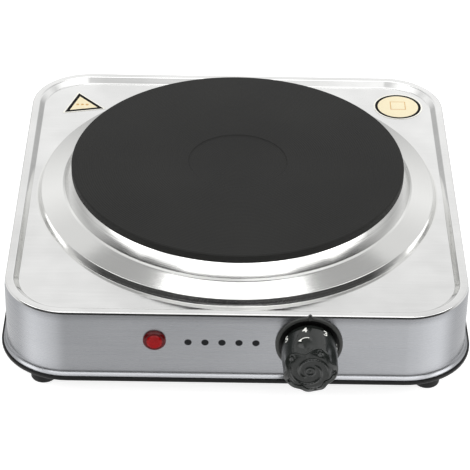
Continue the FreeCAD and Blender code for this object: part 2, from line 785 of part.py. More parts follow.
def knob_bezel():
    """Fixed dial ring on the front wall, with a pointer at its top."""
    body = new_body("knob_bezel", "knob_x", "-half_width", "knob_z")
    revolution(body, "Bezel", "XY_Plane", [
        ("bezel_hole_radius", "0"), ("bezel_radius", "0"), ("bezel_radius", "-bezel_thickness + 0.5"),
        ("bezel_radius - 0.5", "-bezel_thickness"), ("bezel_inner_radius", "-bezel_thickness"),
        ("bezel_inner_radius", "-0.8"), ("bezel_hole_radius", "-0.8"),
    ])
    tip = new_sketch(body, "PointerOutline", "XZ_Plane", "0.8")
    outline(tip, [("-pointer_half_width", "(pointer_root + pointer_reach) / 2"), ("0", "pointer_root"),
                  ("pointer_half_width", "(pointer_root + pointer_reach) / 2"), ("0", "pointer_reach")])
    pad(body, "Pointer", tip, "1.4")


def spindle():
    """Steel spindle: flattened in the knob, with a collar behind the bush."""
    body = new_body("thermostat_spindle", "knob_x", "-half_width", "knob_z")
    collar = "bush_back + 0.3"
    revolution(body, "Spindle", "XY_Plane", [
        ("0", "-spindle_front"), ("spindle_radius - 0.4", "-spindle_front"),
        ("spindle_radius", "-spindle_front + 0.4"), ("spindle_radius", collar),
        ("collar_radius", collar), ("collar_radius", f"{collar} + collar_length"),
        ("spindle_radius", f"{collar} + collar_length"), ("spindle_radius", "spindle_back"),
        ("0", "spindle_back"),
    ])
    flat = new_sketch(body, "FlatOutline", "XZ_Plane", "spindle_front + 1")
    low, side = "spindle_radius - spindle_flat", "spindle_radius + 1"
    outline(flat, [(f"-({side})", low), (side, low), (side, side), (f"-({side})", side)])
    pocket(body, "DFlat", flat, "spindle_flat_length")

    body = new_body("knob_spring_clip", "knob_x", "-half_width", "knob_z")
    leaf = new_sketch(body, "LeafOutline", "XZ_Plane", "spindle_front - 1")
    low = "spindle_radius - spindle_flat + 0.1"
    high = f"{low} + clip_thickness"
    outline(leaf, [("-clip_half_width", low), ("clip_half_width", low),
                   ("clip_half_width", high), ("-clip_half_width", high)])
    pad(body, "Leaf", leaf, "clip_length", reverse=True)


def thermostat():
    """Bush and nut in the front wall, a strip frame behind it, and the bimetal and contact stack."""
    place = ("knob_x", "-half_width", "knob_z")
    body = new_body("thermostat_bush", *place)
    bore = "spindle_radius + running_clearance"
    back = "sheet_thickness + frame_thickness + 0.1"
    revolution(body, "Bush", "XY_Plane", [
        (bore, "-bush_front"), ("bush_radius - 0.5", "-bush_front"), ("bush_radius", "-bush_front + 0.5"),
        ("bush_radius", back), ("bush_flange_radius", back),
        ("bush_flange_radius", f"{back} + bush_flange_thickness"),
        ("bush_radius", f"{back} + bush_flange_thickness"), ("bush_radius", "bush_back"), (bore, "bush_back"),
    ])
    body = new_body("thermostat_nut", *place)
    hex_nut(body, "XZ_Plane", "bush_nut_flats", "bush_radius + 0.02", "bush_nut_height")

    body = new_body("thermostat_frame", *place)
    side = new_sketch(body, "FrameSide", "YZ_Plane", "-frame_width / 2")
    inner, outer = "sheet_thickness + 0.05", "sheet_thickness + 0.05 + frame_thickness"
    foot = "-stack_offset"
    outline(side, [
        (inner, "frame_height"), (inner, foot), ("stack_depth + frame_tail", foot),
        ("stack_depth + frame_tail", f"{foot} + frame_thickness"), (outer, f"{foot} + frame_thickness"),
        (outer, "frame_height"),
    ])
    pad(body, "Frame", side, "frame_width")
    hole = new_sketch(body, "FrameHole", "XZ_Plane", "-0.5")
    circle(hole, "0", "0", "bush_radius + screw_clearance")
    pocket(body, "FrameBore", hole, "3", reverse=False)

    contact_stack()


def contact_stack():
    """Ceramic spacers with the bimetal strip and two contact blades between them, on one rivet."""
    x, y = value("knob_x"), value("stack_depth - half_width")
    level = value("knob_z - stack_offset + frame_thickness")
    spacer, strip, width = value("spacer_thickness"), value("strip_thickness"), value("strip_width")
    hole = value("rivet_radius + running_clearance")
    spacers = []
    for k in range(4):
        at = Vector(x, y, level + k * (spacer + strip))
        disc = Part.makeCylinder(value("spacer_radius"), spacer, at)
        spacers.append(disc.cut(Part.makeCylinder(hole, spacer, at)))
    blades = []
    for k in range(3):
        length = value("strip_length") - k * value("blade_step")
        z = level + spacer + k * (spacer + strip)
        corner = Vector(x - width / 2, y - length, z)
        blade = Part.makeBox(width, length + value("strip_overhang"), strip, corner)
        blades.append(blade.cut(Part.makeCylinder(hole, strip, Vector(x, y, z))))
    feature("thermostat_insulators", Part.makeCompound(spacers))
    feature("bimetal_strip", blades[0])
    feature("contact_blades", Part.makeCompound(blades[1:]))

    tip_y = y - value("strip_length - 2 * blade_step - tip_setback")
    tip_height = spacer / 2 - value("running_clearance")
    low = level + 2 * (spacer + strip)
    tips = [Part.makeCylinder(value("tip_radius"), tip_height, Vector(x, tip_y, z))
            for z in (low, low + spacer - tip_height)]
    feature("contact_tips", Part.makeCompound(tips))
    total = 4 * spacer + 3 * strip
    rivet = Part.makeCylinder(value("rivet_radius"), total, Vector(x, y, level))
    head_height = value("rivet_head_height")
    head = Part.makeCylinder(value("rivet_head_radius"), head_height, Vector(x, y, level + total))
    feature("thermostat_rivet", rivet.fuse(head).removeSplitter())


# ---------------------------------------------------------------- indicator lamp

def indicator_lamp():
    """Red domed lens with a hollow stem through the wall, its neon bulb and push-on clip."""
    place = ("lamp_x", "-half_width", "lamp_z")
    body = new_body("lamp_lens", *place)
    revolution(body, "Lens", "XY_Plane", [
        ("0", "-lens_rise"), ("lens_radius * 0.62", "-lens_rise * 0.86"),
        ("lens_radius * 0.9", "-lens_rise * 0.5"),
        ("lens_radius", "-lens_rise * 0.3"), ("lens_radius", "0"), ("lens_stem_radius", "0"),
        ("lens_stem_radius", "lens_depth"), ("lens_stem_radius - lens_wall", "lens_depth"),
        ("lens_stem_radius - lens_wall", "0"), ("0", "-0.6"),
    ])
    body = new_body("neon_bulb", *place)
    revolution(body, "Bulb", "XY_Plane", [
        ("0", "0.6"), ("bulb_radius * 0.7", "1.1"), ("bulb_radius", "2.4"),
        ("bulb_radius", "0.6 + bulb_length"), ("0", "0.6 + bulb_length"),
    ])
    body = new_body("lamp_clip", *place)
    revolution(body, "Clip", "XY_Plane", [
        ("lens_stem_radius + 0.05", "sheet_thickness + 0.05"), ("lamp_clip_radius", "sheet_thickness + 0.05"),
        ("lamp_clip_radius", "sheet_thickness + 0.55"), ("lens_stem_radius + 0.05", "sheet_thickness + 0.55"),
    ])


# ---------------------------------------------------------------- labels

def labels():
    """Two blank stickers at the back of the deck."""
    body = new_body("round_label", "round_label_x", "round_label_y", "deck_height")
    sketch = new_sketch(body, "LabelOutline", "XY_Plane")
    circle(sketch, "0", "0", "round_label_radius")
    pad(body, "Label", sketch, "label_thickness")
    body = new_body("triangle_label", "triangle_x", "triangle_y", "deck_height")
    sketch = new_sketch(body, "LabelOutline", "XY_Plane")
    turns = [f"({angle} deg + triangle_turn * 1 deg)" for angle in (90, 210, 330)]
    outline(sketch, [(f"triangle_radius * cos{turn}", f"triangle_radius * sin{turn}") for turn in turns])
    pad(body, "Label", sketch, "label_thickness")


# ---------------------------------------------------------------- supply inlet and wiring

def supply_inlet():
    """Cord gland through the rear wall with its nut, and the supply terminal block on the pan."""
    place = ("gland_x", "half_width", "gland_z")
    body = new_body("cord_gland", *place)
    revolution(body, "Gland", "XY_Plane", [
        ("gland_bore_radius", "-gland_inside"), ("gland_stem_radius", "-gland_inside"),
        ("gland_stem_radius", "0"), ("gland_radius", "0"), ("gland_radius", "3"),
        ("gland_radius - 2.2", "gland_reach"), ("gland_bore_radius", "gland_reach"),
    ])
    body = new_body("gland_nut", "gland_x", "half_width - sheet_thickness - gland_nut_height", "gland_z")
    sketch = new_sketch(body, "NutOutline", "XZ_Plane")
    hexagon(sketch, "gland_nut_flats")
    circle(sketch, "0", "0", "gland_stem_radius + 0.02")
    pad(body, "Nut", sketch, "gland_nut_height", reverse=True)

    floor = "base_height + pan_thickness"
    body = new_body("supply_terminal_block", "strip_x", "strip_y", floor)
    sketch = new_sketch(body, "BlockOutline", "XY_Plane")
    rectangle(sketch, "0", "0", "supply_block_length", "supply_block_width")
    pad(body, "Block", sketch, "block_height")
    wells = new_sketch(body, "ScrewWells", "XY_Plane", "block_height")
    for x in POLES:
        circle(wells, x, "0", "well_radius")
    pocket(body, "Wells", wells, "well_depth")

    screws = []
    seat = f"{floor} + block_height - well_depth + 0.2"
    for x in POLES:
        at = Vector(value(f"strip_x + ({x})"), value("strip_y"), value(seat))
        screws.append(Part.makeCylinder(value("terminal_screw_radius"), value("terminal_screw_length"), at))
    feature("terminal_screws", Part.makeCompound(screws))

    at = Vector(value("earth_x"), value("earth_y"), value(floor))
    width, thickness = value("earth_tab_width"), value("earth_tab_thickness")
    tab = Part.makeBox(width, value("earth_tab_length"), thickness, at - Vector(width / 2, width / 2, 0))
    feature("earth_tab", tab.cut(Part.makeCylinder(value("screw_radius") + 0.1, thickness, at)))
    screw = Part.makeCylinder(value("screw_radius"), thickness + value("earth_head_height"), at)
    at_head = at + Vector(0, 0, thickness)
    head = Part.makeCylinder(value("earth_head_radius"), value("earth_head_height"), at_head)
    feature("earth_screw", screw.fuse(head).removeSplitter())


POLES = ("-pole_spacing", "0", "pole_spacing")


def bent_run(points):
    """A wire of straight runs joined by arcs as large as the shorter run beside each corner allows."""
    corners = [Vector(*point) for point in points]
    edges = []
    start = corners[0]
    radii = []
    for before, corner, after in zip(corners, corners[1:], corners[2:]):
        back, ahead = before - corner, after - corner
        shorter = min(back.Length, ahead.Length)
        back.normalize()
        ahead.normalize()
        half = back.getAngle(ahead) / 2
        reach = 0.45 * shorter
        radius = reach * math.tan(half)
        radii.append(radius)
        first, last = corner + back * reach, corner + ahead * reach
        middle = corner + (back + ahead).normalize() * (radius / math.sin(half) - radius)
        edges.append(Part.LineSegment(start, first).toShape())
        edges.append(Part.Arc(first, middle, last).toShape())
        start = last
    edges.append(Part.LineSegment(start, corners[-1]).toShape())
    return Part.Wire(edges), radii


def lead(name, points):
    """One insulated lead along its route."""
    path, radii = bent_run(points)
    radius = value("lead_radius")
    end = Part.Wire(Part.makeCircle(radius, path.Vertexes[0].Point, path.Edges[0].tangentAt(0)))
    tube = path.makePipeShell([end], True, False)
    ratio = tube.Volume / (math.pi * radius ** 2 * path.Length)
    if not 0.98 < ratio < 1.02:
        raise RuntimeError(f"{name}: tube volume is {ratio:.3f} of section times length")
    print(f"{name}: length {path.Length:.0f} mm, bend radii " + ", ".join(f"{r:.1f}" for r in radii))
    feature(name, tube)


def wiring():
    """Leads from the supply block to the thermostat, element, lamp and earth tab."""
    front, rear = value("strip_y - supply_block_width / 2"), value("strip_y + supply_block_width / 2")
    x = [value(f"strip_x + ({pole})") for pole in POLES]
    z = value("base_height + pan_thickness") + 4
    knob_x, stack_y = value("knob_x"), value("stack_depth - half_width")
    live_z = value("knob_z - stack_offset + frame_thickness") + 2 * value("spacer_thickness") + 1.5
    term_x, half_gap = value("terminal_x"), value("terminal_spacing") / 2
    term_low = value("terminal_bottom")
    lamp_x, lamp_z = value("lamp_x"), value("lamp_z")
    wall = value("half_width")
    lead("live_lead", [(x[2], front, z), (x[2], 60, z), (x[2] + 14, 20, z), (0, -20, z + 2),
                       (knob_x - 20, -50, z + 2), (knob_x - 3, -62, live_z),
                       (knob_x - 3, stack_y + 5, live_z)])
    lead("neutral_lead", [(x[1], front, z), (x[1], 66, z), (-30, 40, z), (20, 34, z + 1),
                          (term_x - 10, 22, z + 3), (term_x, half_gap, z + 8), (term_x, half_gap, term_low)])
    lead("switched_lead", [(knob_x + 3, stack_y + 5, live_z + 3.8), (knob_x + 3, -64, live_z + 3.8),
                           (knob_x + 18, -44, 26), (term_x - 2, -24, 24), (term_x, -half_gap, 27),
                           (term_x, -half_gap, term_low)])
    lead("lamp_live_lead", [(lamp_x + 1.5, -wall + 13, lamp_z), (lamp_x + 1.5, -wall + 22, lamp_z),
                            (lamp_x + 12, -wall + 36, 30), (-10, -80, 24), (8, -66, 20), (22, -66, 20)])
    lead("lamp_neutral_lead", [(lamp_x - 1.5, -wall + 13, lamp_z), (lamp_x - 1.5, -wall + 22, lamp_z),
                               (lamp_x - 6, -wall + 40, 28), (-56, -50, z), (-66, -10, z), (-72, 30, z),
                               (x[0], 60, z), (x[0], front, z)])
    lead("earth_lead", [(x[2], rear, z), (x[2], rear + 8, z), (x[2] + 10, rear + 14, z - 1),
                        (value("earth_x") - 8, value("earth_y") + 12, z - 1),
                        (value("earth_x"), value("earth_y") + 8, 15.2),
                        (value("earth_x"), value("earth_y") + 4.5, 15.0)])


# ---------------------------------------------------------------- build, check and write

housing_shell()
base_pan()
feet()
foot_screws()
corner_posts()
hot_plate()
spill_ring()
plate_clamp()
heating_element()
control_knob()
knob_bezel()
spindle()
thermostat()
indicator_lamp()
labels()
supply_inlet()
wiring()
doc.recompute()

for item in doc.Objects:
    if "Invalid" in item.State or "Error" in item.State:
        raise RuntimeError(f"{item.Label}: {item.State}")
for item in subparts:
    if item.Shape.isNull() or not item.Shape.isValid() or not item.Shape.Solids:
        raise RuntimeError(f"{item.Label}: bad shape")

os.makedirs("parts", exist_ok=True)
for item in subparts:
    item.Shape.exportStep(f"parts/{item.Label}.step")
    size = item.Shape.BoundBox
    spans = ((size.XMin, size.XMax), (size.YMin, size.YMax), (size.ZMin, size.ZMax))
    places = ", ".join(f"{low:.1f}..{high:.1f}" for low, high in spans)
    print(f"{item.Label}: {len(item.Shape.Solids)} solid(s), {item.Shape.Volume:.0f} mm3, {places}")
print(f"{len(subparts)} sub-parts")
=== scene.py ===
import json
import math

import bmesh
import bpy
from mathutils import Matrix, Vector


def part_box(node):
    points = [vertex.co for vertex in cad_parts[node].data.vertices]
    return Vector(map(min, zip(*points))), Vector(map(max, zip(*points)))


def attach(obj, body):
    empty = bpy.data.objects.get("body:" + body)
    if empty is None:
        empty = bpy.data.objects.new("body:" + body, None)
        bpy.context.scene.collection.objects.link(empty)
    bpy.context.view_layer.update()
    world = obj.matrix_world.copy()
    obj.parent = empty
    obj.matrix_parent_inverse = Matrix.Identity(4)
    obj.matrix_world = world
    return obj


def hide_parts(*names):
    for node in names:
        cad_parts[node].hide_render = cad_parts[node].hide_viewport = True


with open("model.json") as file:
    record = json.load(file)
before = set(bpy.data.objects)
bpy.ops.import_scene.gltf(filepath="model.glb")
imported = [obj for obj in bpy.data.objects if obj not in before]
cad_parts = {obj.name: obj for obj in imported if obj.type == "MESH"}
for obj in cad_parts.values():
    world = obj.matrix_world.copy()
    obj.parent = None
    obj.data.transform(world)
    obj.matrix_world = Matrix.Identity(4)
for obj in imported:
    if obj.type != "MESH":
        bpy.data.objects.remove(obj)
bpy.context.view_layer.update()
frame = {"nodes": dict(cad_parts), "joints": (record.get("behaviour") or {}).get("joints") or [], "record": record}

# Single-ring electric hot plate: pressed stainless housing, cast-iron plate, moulded knob, red lamp.
# Lengths are in millimetres and are turned to metres by MM. Heights and centres come from the frame.

MM = 0.001


def size_of(node):
    """Lowest and highest corner of a frame node, in millimetres."""
    low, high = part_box(node)
    return low / MM, high / MM


SHELL_LOW, SHELL_HIGH = size_of("housing_shell")
PAN_LOW, PAN_HIGH = size_of("base_pan")
PLATE_LOW, PLATE_HIGH = size_of("hot_plate")
RING_LOW, RING_HIGH = size_of("spill_ring")
KNOB_LOW, KNOB_HIGH = size_of("control_knob")
BEZEL_LOW, BEZEL_HIGH = size_of("knob_bezel")
LENS_LOW, LENS_HIGH = size_of("lamp_lens")
ROUND_LOW, ROUND_HIGH = size_of("round_label")

AXIS = Vector(((PLATE_LOW.x + PLATE_HIGH.x) / 2, (PLATE_LOW.y + PLATE_HIGH.y) / 2, 0))
KNOB_AXIS = Vector(frame["joints"][0]["pos_m"]) / MM
LAMP_X = (LENS_LOW.x + LENS_HIGH.x) / 2
LAMP_Z = (LENS_LOW.z + LENS_HIGH.z) / 2

# pressed housing
LIP_FLARE = 1.9
LIP_BOTTOM = SHELL_LOW.z
HALF = (SHELL_HIGH.x - SHELL_LOW.x) / 2 - LIP_FLARE
CORNER = 34.3
RIM_TOP = 54.1
RIM_WIDTH = 4.7
RIM_SLOPE = 3.0
RIM_INNER_FLAT = 1.6
BEVEL_DROP = 1.35
DECK = 51.3
SHEET = 0.7
FRONT_WALL = AXIS.y - HALF
# domed platform round the hot plate
FOOT_RADIUS = 111.5
STEP_RADIUS = 109.6
STEP_HEIGHT = 55.0
SHELF_RADIUS = 97.5
SHELF_HEIGHT = 58.0
CROWN_RADIUS = 94.0
CROWN_HEIGHT = 60.0
CROWN_HOLE = 87.2
# hot plate
PLATE_RADIUS = (PLATE_HIGH.x - PLATE_LOW.x) / 2
PLATE_TOP = PLATE_HIGH.z
PLATE_SIDE = 4.7
RECESS_RADIUS = 27.0
RECESS_DEPTH = 0.5
# base pan
PAN_RIM = 2.8
PAN_SHEET = 0.8
PAN_FLOOR_INSET = 30.0
VENT_SIZE = (46.0, 4.0, 6.0)
VENT_PITCH = 12.0
VENT_COUNT = 7
# mesh density
STRAIGHT_CUTS = 16
CORNER_CUTS = 16
ROUND_CUTS = 4 * (STRAIGHT_CUTS + CORNER_CUTS)


# ---------------------------------------------------------------- colours and material nodes

def colour(code, alpha=1.0):
    """Linear colour from an sRGB hex value."""
    channels = [int(code[i:i + 2], 16) / 255 for i in (1, 3, 5)]
    linear = [c / 12.92 if c <= 0.04045 else ((c + 0.055) / 1.055) ** 2.4 for c in channels]
    return (*linear, alpha)


def add_node(tree, kind, inputs=None, **settings):
    """Adds a node. Its inputs are values, or outputs of other nodes to link from."""
    node = tree.nodes.new(kind)
    for name, value in settings.items():
        setattr(node, name, value)
    for socket, value in (inputs or {}).items():
        if isinstance(value, bpy.types.NodeSocket):
            tree.links.new(value, node.inputs[socket])
        else:
            node.inputs[socket].default_value = value
    return node


def start_material(name, **shader_inputs):
    """A material whose shader has its plain inputs set. Returns the material, its nodes and its shader."""
    material = bpy.data.materials.new(name)
    material.use_nodes = True
    tree = material.node_tree
    tree.nodes.clear()
    shader = add_node(tree, "ShaderNodeBsdfPrincipled")
    for socket, value in shader_inputs.items():
        shader.inputs[socket.replace("_", " ")].default_value = value
    output = add_node(tree, "ShaderNodeOutputMaterial")
    tree.links.new(shader.outputs[0], output.inputs[0])
    return material, tree, shader


def place_pattern(tree, centre=(0, 0, 0), scale=(1, 1, 1)):
    """Object coordinates in millimetres from centre, stretched by scale."""
    coords = add_node(tree, "ShaderNodeTexCoord")
    return add_node(tree, "ShaderNodeMapping", {
        "Vector": coords.outputs["Object"],
        "Location": [-c * s for c, s in zip(centre, scale)],
        "Scale": [s / MM for s in scale],
    }).outputs[0]


def noise(tree, vector, scale=1.0, detail=2.0, roughness=0.5):
    """Soft random pattern, 0 to 1."""
    return add_node(tree, "ShaderNodeTexNoise", {
        "Vector": vector, "Scale": scale, "Detail": detail, "Roughness": roughness}).outputs["Fac"]


def spread(tree, source, low, high, start=0.3, end=0.7):
    """Maps a pattern between start and end to low and high."""
    return add_node(tree, "ShaderNodeMapRange", {
        "Value": source, "From Min": start, "From Max": end, "To Min": low, "To Max": high}).outputs[0]


def blend_colours(tree, factor, first, second):
    """Mixes two colours by a pattern."""
    mix = add_node(tree, "ShaderNodeMix", data_type="RGBA")
    for socket, value in ((0, factor), (6, first), (7, second)):
        if isinstance(value, bpy.types.NodeSocket):
            tree.links.new(value, mix.inputs[socket])
        else:
            mix.inputs[socket].default_value = value
    return mix.outputs[2]


def feed(tree, shader, **links):
    """Links patterns to the shader's inputs."""
    for socket, output in links.items():
        tree.links.new(output, shader.inputs[socket.replace("_", " ")])


def bump(tree, shader, height, depth):
    """Gives the surface relief of the given depth in millimetres."""
    relief = add_node(tree, "ShaderNodeBump", {"Height": height, "Distance": depth * MM, "Strength": 1.0})
    tree.links.new(relief.outputs[0], shader.inputs["Normal"])


# ---------------------------------------------------------------- materials

def add_patterns(tree, first, second):
    """Sum of two patterns."""
    return add_node(tree, "ShaderNodeMath", {0: first, 1: second}, operation="ADD").outputs[0]


def multiply_patterns(tree, first, second):
    """Product of two patterns, or of a pattern and a number."""
    return add_node(tree, "ShaderNodeMath", {0: first, 1: second}, operation="MULTIPLY").outputs[0]


def distance_from_axis(tree):
    """Distance from the plate's upright axis, in millimetres."""
    place = place_pattern(tree, centre=AXIS, scale=(1, 1, 0))
    return add_node(tree, "ShaderNodeVectorMath", {0: place}, operation="LENGTH").outputs["Value"]


def brushed_stainless():
    """Grade 430 stainless, belt-brushed lengthwise: soft grey, level hairlines, a broad highlight."""
    # the hairlines run level, so light spreads up and down across them
    material, tree, shader = start_material("stainless_brushed_satin", Metallic=1.0, Anisotropic=0.75,
                                            Anisotropic_Rotation=0.25)
    around = add_node(tree, "ShaderNodeTangent", direction_type="RADIAL", axis="Z")
    tree.links.new(around.outputs[0], shader.inputs["Tangent"])
    hairlines = noise(tree, place_pattern(tree, scale=(0.02, 0.02, 9.0)), detail=4.0, roughness=0.7)
    clouds = noise(tree, place_pattern(tree, scale=(0.02, 0.02, 0.05)))
    tone = add_patterns(tree, spread(tree, hairlines, 0, 0.8), spread(tree, clouds, 0, 0.2))
    feed(tree, shader, Base_Color=blend_colours(tree, tone, colour("#a0a2a6"), colour("#bdbec1")),
         Roughness=spread(tree, hairlines, 0.2, 0.34))
    bump(tree, shader, hairlines, 0.012)
    return material


def polished_stainless():
    """Stainless buffed after pressing: bright, a little wavy, with faint wiping marks."""
    material, tree, shader = start_material("stainless_buffed", Metallic=1.0)
    waves = noise(tree, place_pattern(tree, scale=(0.03, 0.03, 0.03)))
    wipes = noise(tree, place_pattern(tree, scale=(0.03, 0.9, 0.3)), detail=3.0)
    tone = add_patterns(tree, spread(tree, waves, 0, 0.8), spread(tree, wipes, 0, 0.2))
    feed(tree, shader, Base_Color=blend_colours(tree, tone, colour("#e4e4e3"), colour("#f6f6f5")),
         Roughness=spread(tree, wipes, 0.07, 0.15))
    bump(tree, shader, waves, 0.2)
    return material


def spun_stainless(name, light, dark, rough):
    """Stainless ring polished while it turns: fine circles that fan the light out across them."""
    material, tree, shader = start_material(name, Metallic=1.0)
    radius = distance_from_axis(tree)
    circles = add_node(tree, "ShaderNodeTexNoise", {"W": radius, "Scale": 2.5, "Detail": 3.0},
                       noise_dimensions="1D").outputs["Fac"]
    feed(tree, shader, Base_Color=blend_colours(tree, circles, colour(dark), colour(light)),
         Roughness=spread(tree, circles, rough, rough + 0.08))
    bump(tree, shader, circles, 0.01)
    return material


def plate_coating():
    """Black heat-resistant coating on turned cast iron: matt, faint turning grooves, a fine grain."""
    material, tree, shader = start_material("black_coating_on_turned_iron", Specular_IOR_Level=0.27)
    # the real grooves are 0.4 mm apart; they are drawn 1.3 mm apart so that they show
    groove_pitch = 1.3
    turns = multiply_patterns(tree, distance_from_axis(tree), 2 * math.pi / groove_pitch)
    grooves = add_node(tree, "ShaderNodeMath", {0: turns}, operation="SINE").outputs[0]
    grain = noise(tree, place_pattern(tree), scale=1.6, detail=3.0)
    patches = noise(tree, place_pattern(tree), scale=0.02)
    tone = spread(tree, multiply_patterns(tree, grain, patches), 0, 1, 0.1, 0.4)
    feed(tree, shader, Base_Color=blend_colours(tree, tone, colour("#131312"), colour("#1b1b19")),
         Roughness=spread(tree, grain, 0.5, 0.62))
    bump(tree, shader, add_patterns(tree, grooves, grain), 0.015)
    return material


def grained(name, dark, light, rough, grain_size, depth, **shader_inputs):
    """A moulded or cast surface: two near tones and a fine even grain of the given size."""
    material, tree, shader = start_material(name, **shader_inputs)
    grain = noise(tree, place_pattern(tree), scale=1 / grain_size, detail=3.0)
    patches = noise(tree, place_pattern(tree), scale=0.05)
    tone = spread(tree, multiply_patterns(tree, grain, patches), 0, 1, 0.1, 0.4)
    feed(tree, shader, Base_Color=blend_colours(tree, tone, colour(dark), colour(light)),
         Roughness=spread(tree, grain, rough - 0.05, rough + 0.05))
    bump(tree, shader, grain, depth)
    return material


def drawn_wire(name, dark, light, rough, **shader_inputs):
    """Drawn, rolled or plated metal: thin lines along one way and slight clouding."""
    material, tree, shader = start_material(name, Metallic=1.0, **shader_inputs)
    lines = noise(tree, place_pattern(tree, scale=(0.2, 0.2, 3.0)), detail=3.0)
    feed(tree, shader, Base_Color=blend_colours(tree, lines, colour(dark), colour(light)),
         Roughness=spread(tree, lines, rough - 0.06, rough + 0.06))
    bump(tree, shader, lines, 0.01)
    return material


MATERIALS = {
    "housing": brushed_stainless(),
    "deck": polished_stainless(),
    "platform": spun_stainless("stainless_spun_bright", "#f2f2f0", "#e6e6e4", 0.07),
    "ring": spun_stainless("stainless_spun_satin", "#f2f2f0", "#e4e4e2", 0.14),
    "plate": plate_coating(),
    "enamel": grained("black_stove_enamel", "#050505", "#0b0b0b", 0.3, 0.9, 0.01,
                      Specular_IOR_Level=0.25),
    "rubber": grained("black_moulded_rubber", "#0a0a0a", "#131312", 0.62, 0.35, 0.03,
                      Specular_IOR_Level=0.3),
    "knob": grained("black_phenolic_satin", "#141715", "#1f2220", 0.2, 0.5, 0.008,
                    Specular_IOR_Level=0.45),
    "bezel": grained("dark_grey_phenolic_matt", "#2f302f", "#3b3c3a", 0.45, 0.45, 0.015,
                     Specular_IOR_Level=0.35),
    "numerals": grained("white_pad_print", "#e2e2dc", "#f4f4ef", 0.5, 0.3, 0.004),
    "print": grained("black_pad_print", "#07080b", "#101216", 0.5, 0.3, 0.004,
                     Specular_IOR_Level=0.2),
    "lens": grained("red_polycarbonate", "#3f0709", "#560b0e", 0.12, 0.8, 0.01,
                    Specular_IOR_Level=0.2),
    "lens_core": grained("red_polycarbonate_lit_core", "#72080b", "#920d11", 0.14, 0.8, 0.01,
                         Specular_IOR_Level=0.15),
    "label_white": grained("white_vinyl_film", "#e9e7de", "#f5f3ea", 0.35, 0.4, 0.003),
    "label_black": grained("black_vinyl_ink", "#050505", "#0c0c0c", 0.5, 0.4, 0.003,
                           Specular_IOR_Level=0.1),
    "label_cream": grained("cream_vinyl_ink", "#e6d9b4", "#efe4c4", 0.35, 0.4, 0.003),
    "label_ochre": grained("ochre_vinyl_ink", "#c79a55", "#d8b277", 0.4, 0.4, 0.003),
    "zinc": drawn_wire("zinc_plated_steel", "#8d9092", "#b4b7b9", 0.34),
    "nichrome": drawn_wire("oxidised_nichrome", "#4c4744", "#6a625c", 0.5),
    "aluminised": drawn_wire("aluminised_sheet_steel", "#a9abac", "#c5c7c8", 0.4),
    "brass": drawn_wire("turned_brass", "#a8843c", "#cda85a", 0.28),
    "bimetal": drawn_wire("rolled_bimetal", "#8c8476", "#a79d8d", 0.35),
    "silver": drawn_wire("silver_contact", "#c9c8c4", "#e2e1dd", 0.25),
    "ceramic": grained("glazed_steatite", "#d8d2c2", "#eae5d8", 0.22, 1.2, 0.01, Coat_Weight=0.4),
    "cement": grained("magnesia_cement", "#b9b6ab", "#d5d2c7", 0.85, 0.5, 0.08),
    "fibre": grained("pressed_mineral_fibre", "#a8a293", "#c8c2b3", 0.9, 0.4, 0.08),
    "glass": grained("soda_glass", "#d8cfc4", "#ebe4da", 0.08, 2.0, 0.002, Transmission_Weight=0.8),
    "nylon_black": grained("black_nylon", "#151515", "#202020", 0.42, 0.5, 0.02),
    "nylon_white": grained("natural_nylon", "#d9d8d0", "#ebeae3", 0.45, 0.6, 0.02),
    "sleeve_brown": grained("brown_silicone_sleeve", "#4a2a18", "#63391f", 0.55, 0.4, 0.02),
    "sleeve_blue": grained("blue_silicone_sleeve", "#22489a", "#2f5cb4", 0.55, 0.4, 0.02),
    "sleeve_earth": grained("green_yellow_silicone_sleeve", "#3f7d2c", "#c9b82e", 0.55, 3.0, 0.02),
}

# finishes of the frame nodes that stay as they are
SLOT_FINISH = {
    "zinc_steel": "zinc", "fibre": "fibre", "resistance_wire": "nichrome", "magnesia": "cement",
    "aluminised_steel": "aluminised", "ceramic": "ceramic", "brass": "brass", "bimetal": "bimetal",
    "silver_contact": "silver", "bulb_glass": "glass", "black_nylon": "nylon_black",
    "white_nylon": "nylon_white", "brown_sleeve": "sleeve_brown", "blue_sleeve": "sleeve_blue",
    "earth_sleeve": "sleeve_earth", "stainless": "housing", "polished_stainless": "ring",
    "black_enamel": "enamel", "rubber": "rubber", "cast_iron": "plate", "black_bakelite": "knob",
    "dark_bezel": "bezel", "red_lens": "lens", "label_cream": "label_cream",
}


def finish_frame_nodes():
    """Gives every frame node the finish of its material slot."""
    for entry in frame["record"]["subparts"]:
        node = frame["nodes"][entry["node"]]
        node.data.materials.clear()
        node.data.materials.append(MATERIALS[SLOT_FINISH[entry["material_slot"]]])


# ---------------------------------------------------------------- mesh helpers

def rounded(corners, cuts=5):
    """The points of an open outline whose corners (a, b, radius) are rounded with arcs."""
    points = [Vector(corners[0][:2])]
    for before, corner, after in zip(corners, corners[1:], corners[2:]):
        centre, radius = Vector(corner[:2]), corner[2]
        if not radius:
            points.append(centre)
            continue
        back = (Vector(before[:2]) - centre).normalized()
        ahead = (Vector(after[:2]) - centre).normalized()
        half = back.angle(ahead) / 2
        middle = centre + (back + ahead).normalized() * radius / math.sin(half)
        first = centre + back * radius / math.tan(half) - middle
        last = centre + ahead * radius / math.tan(half) - middle
        points += [middle + first.slerp(last, i / cuts) * (radius / first.slerp(last, i / cuts).length)
                   for i in range(cuts + 1)]
    points.append(Vector(corners[-1][:2]))
    return points


def draw_line(bm, points):
    """A chain of edges through points; closed if its ends meet."""
    verts = [bm.verts.new(p) for p in points]
    return [bm.edges.new(pair) for pair in zip(verts, verts[1:])]


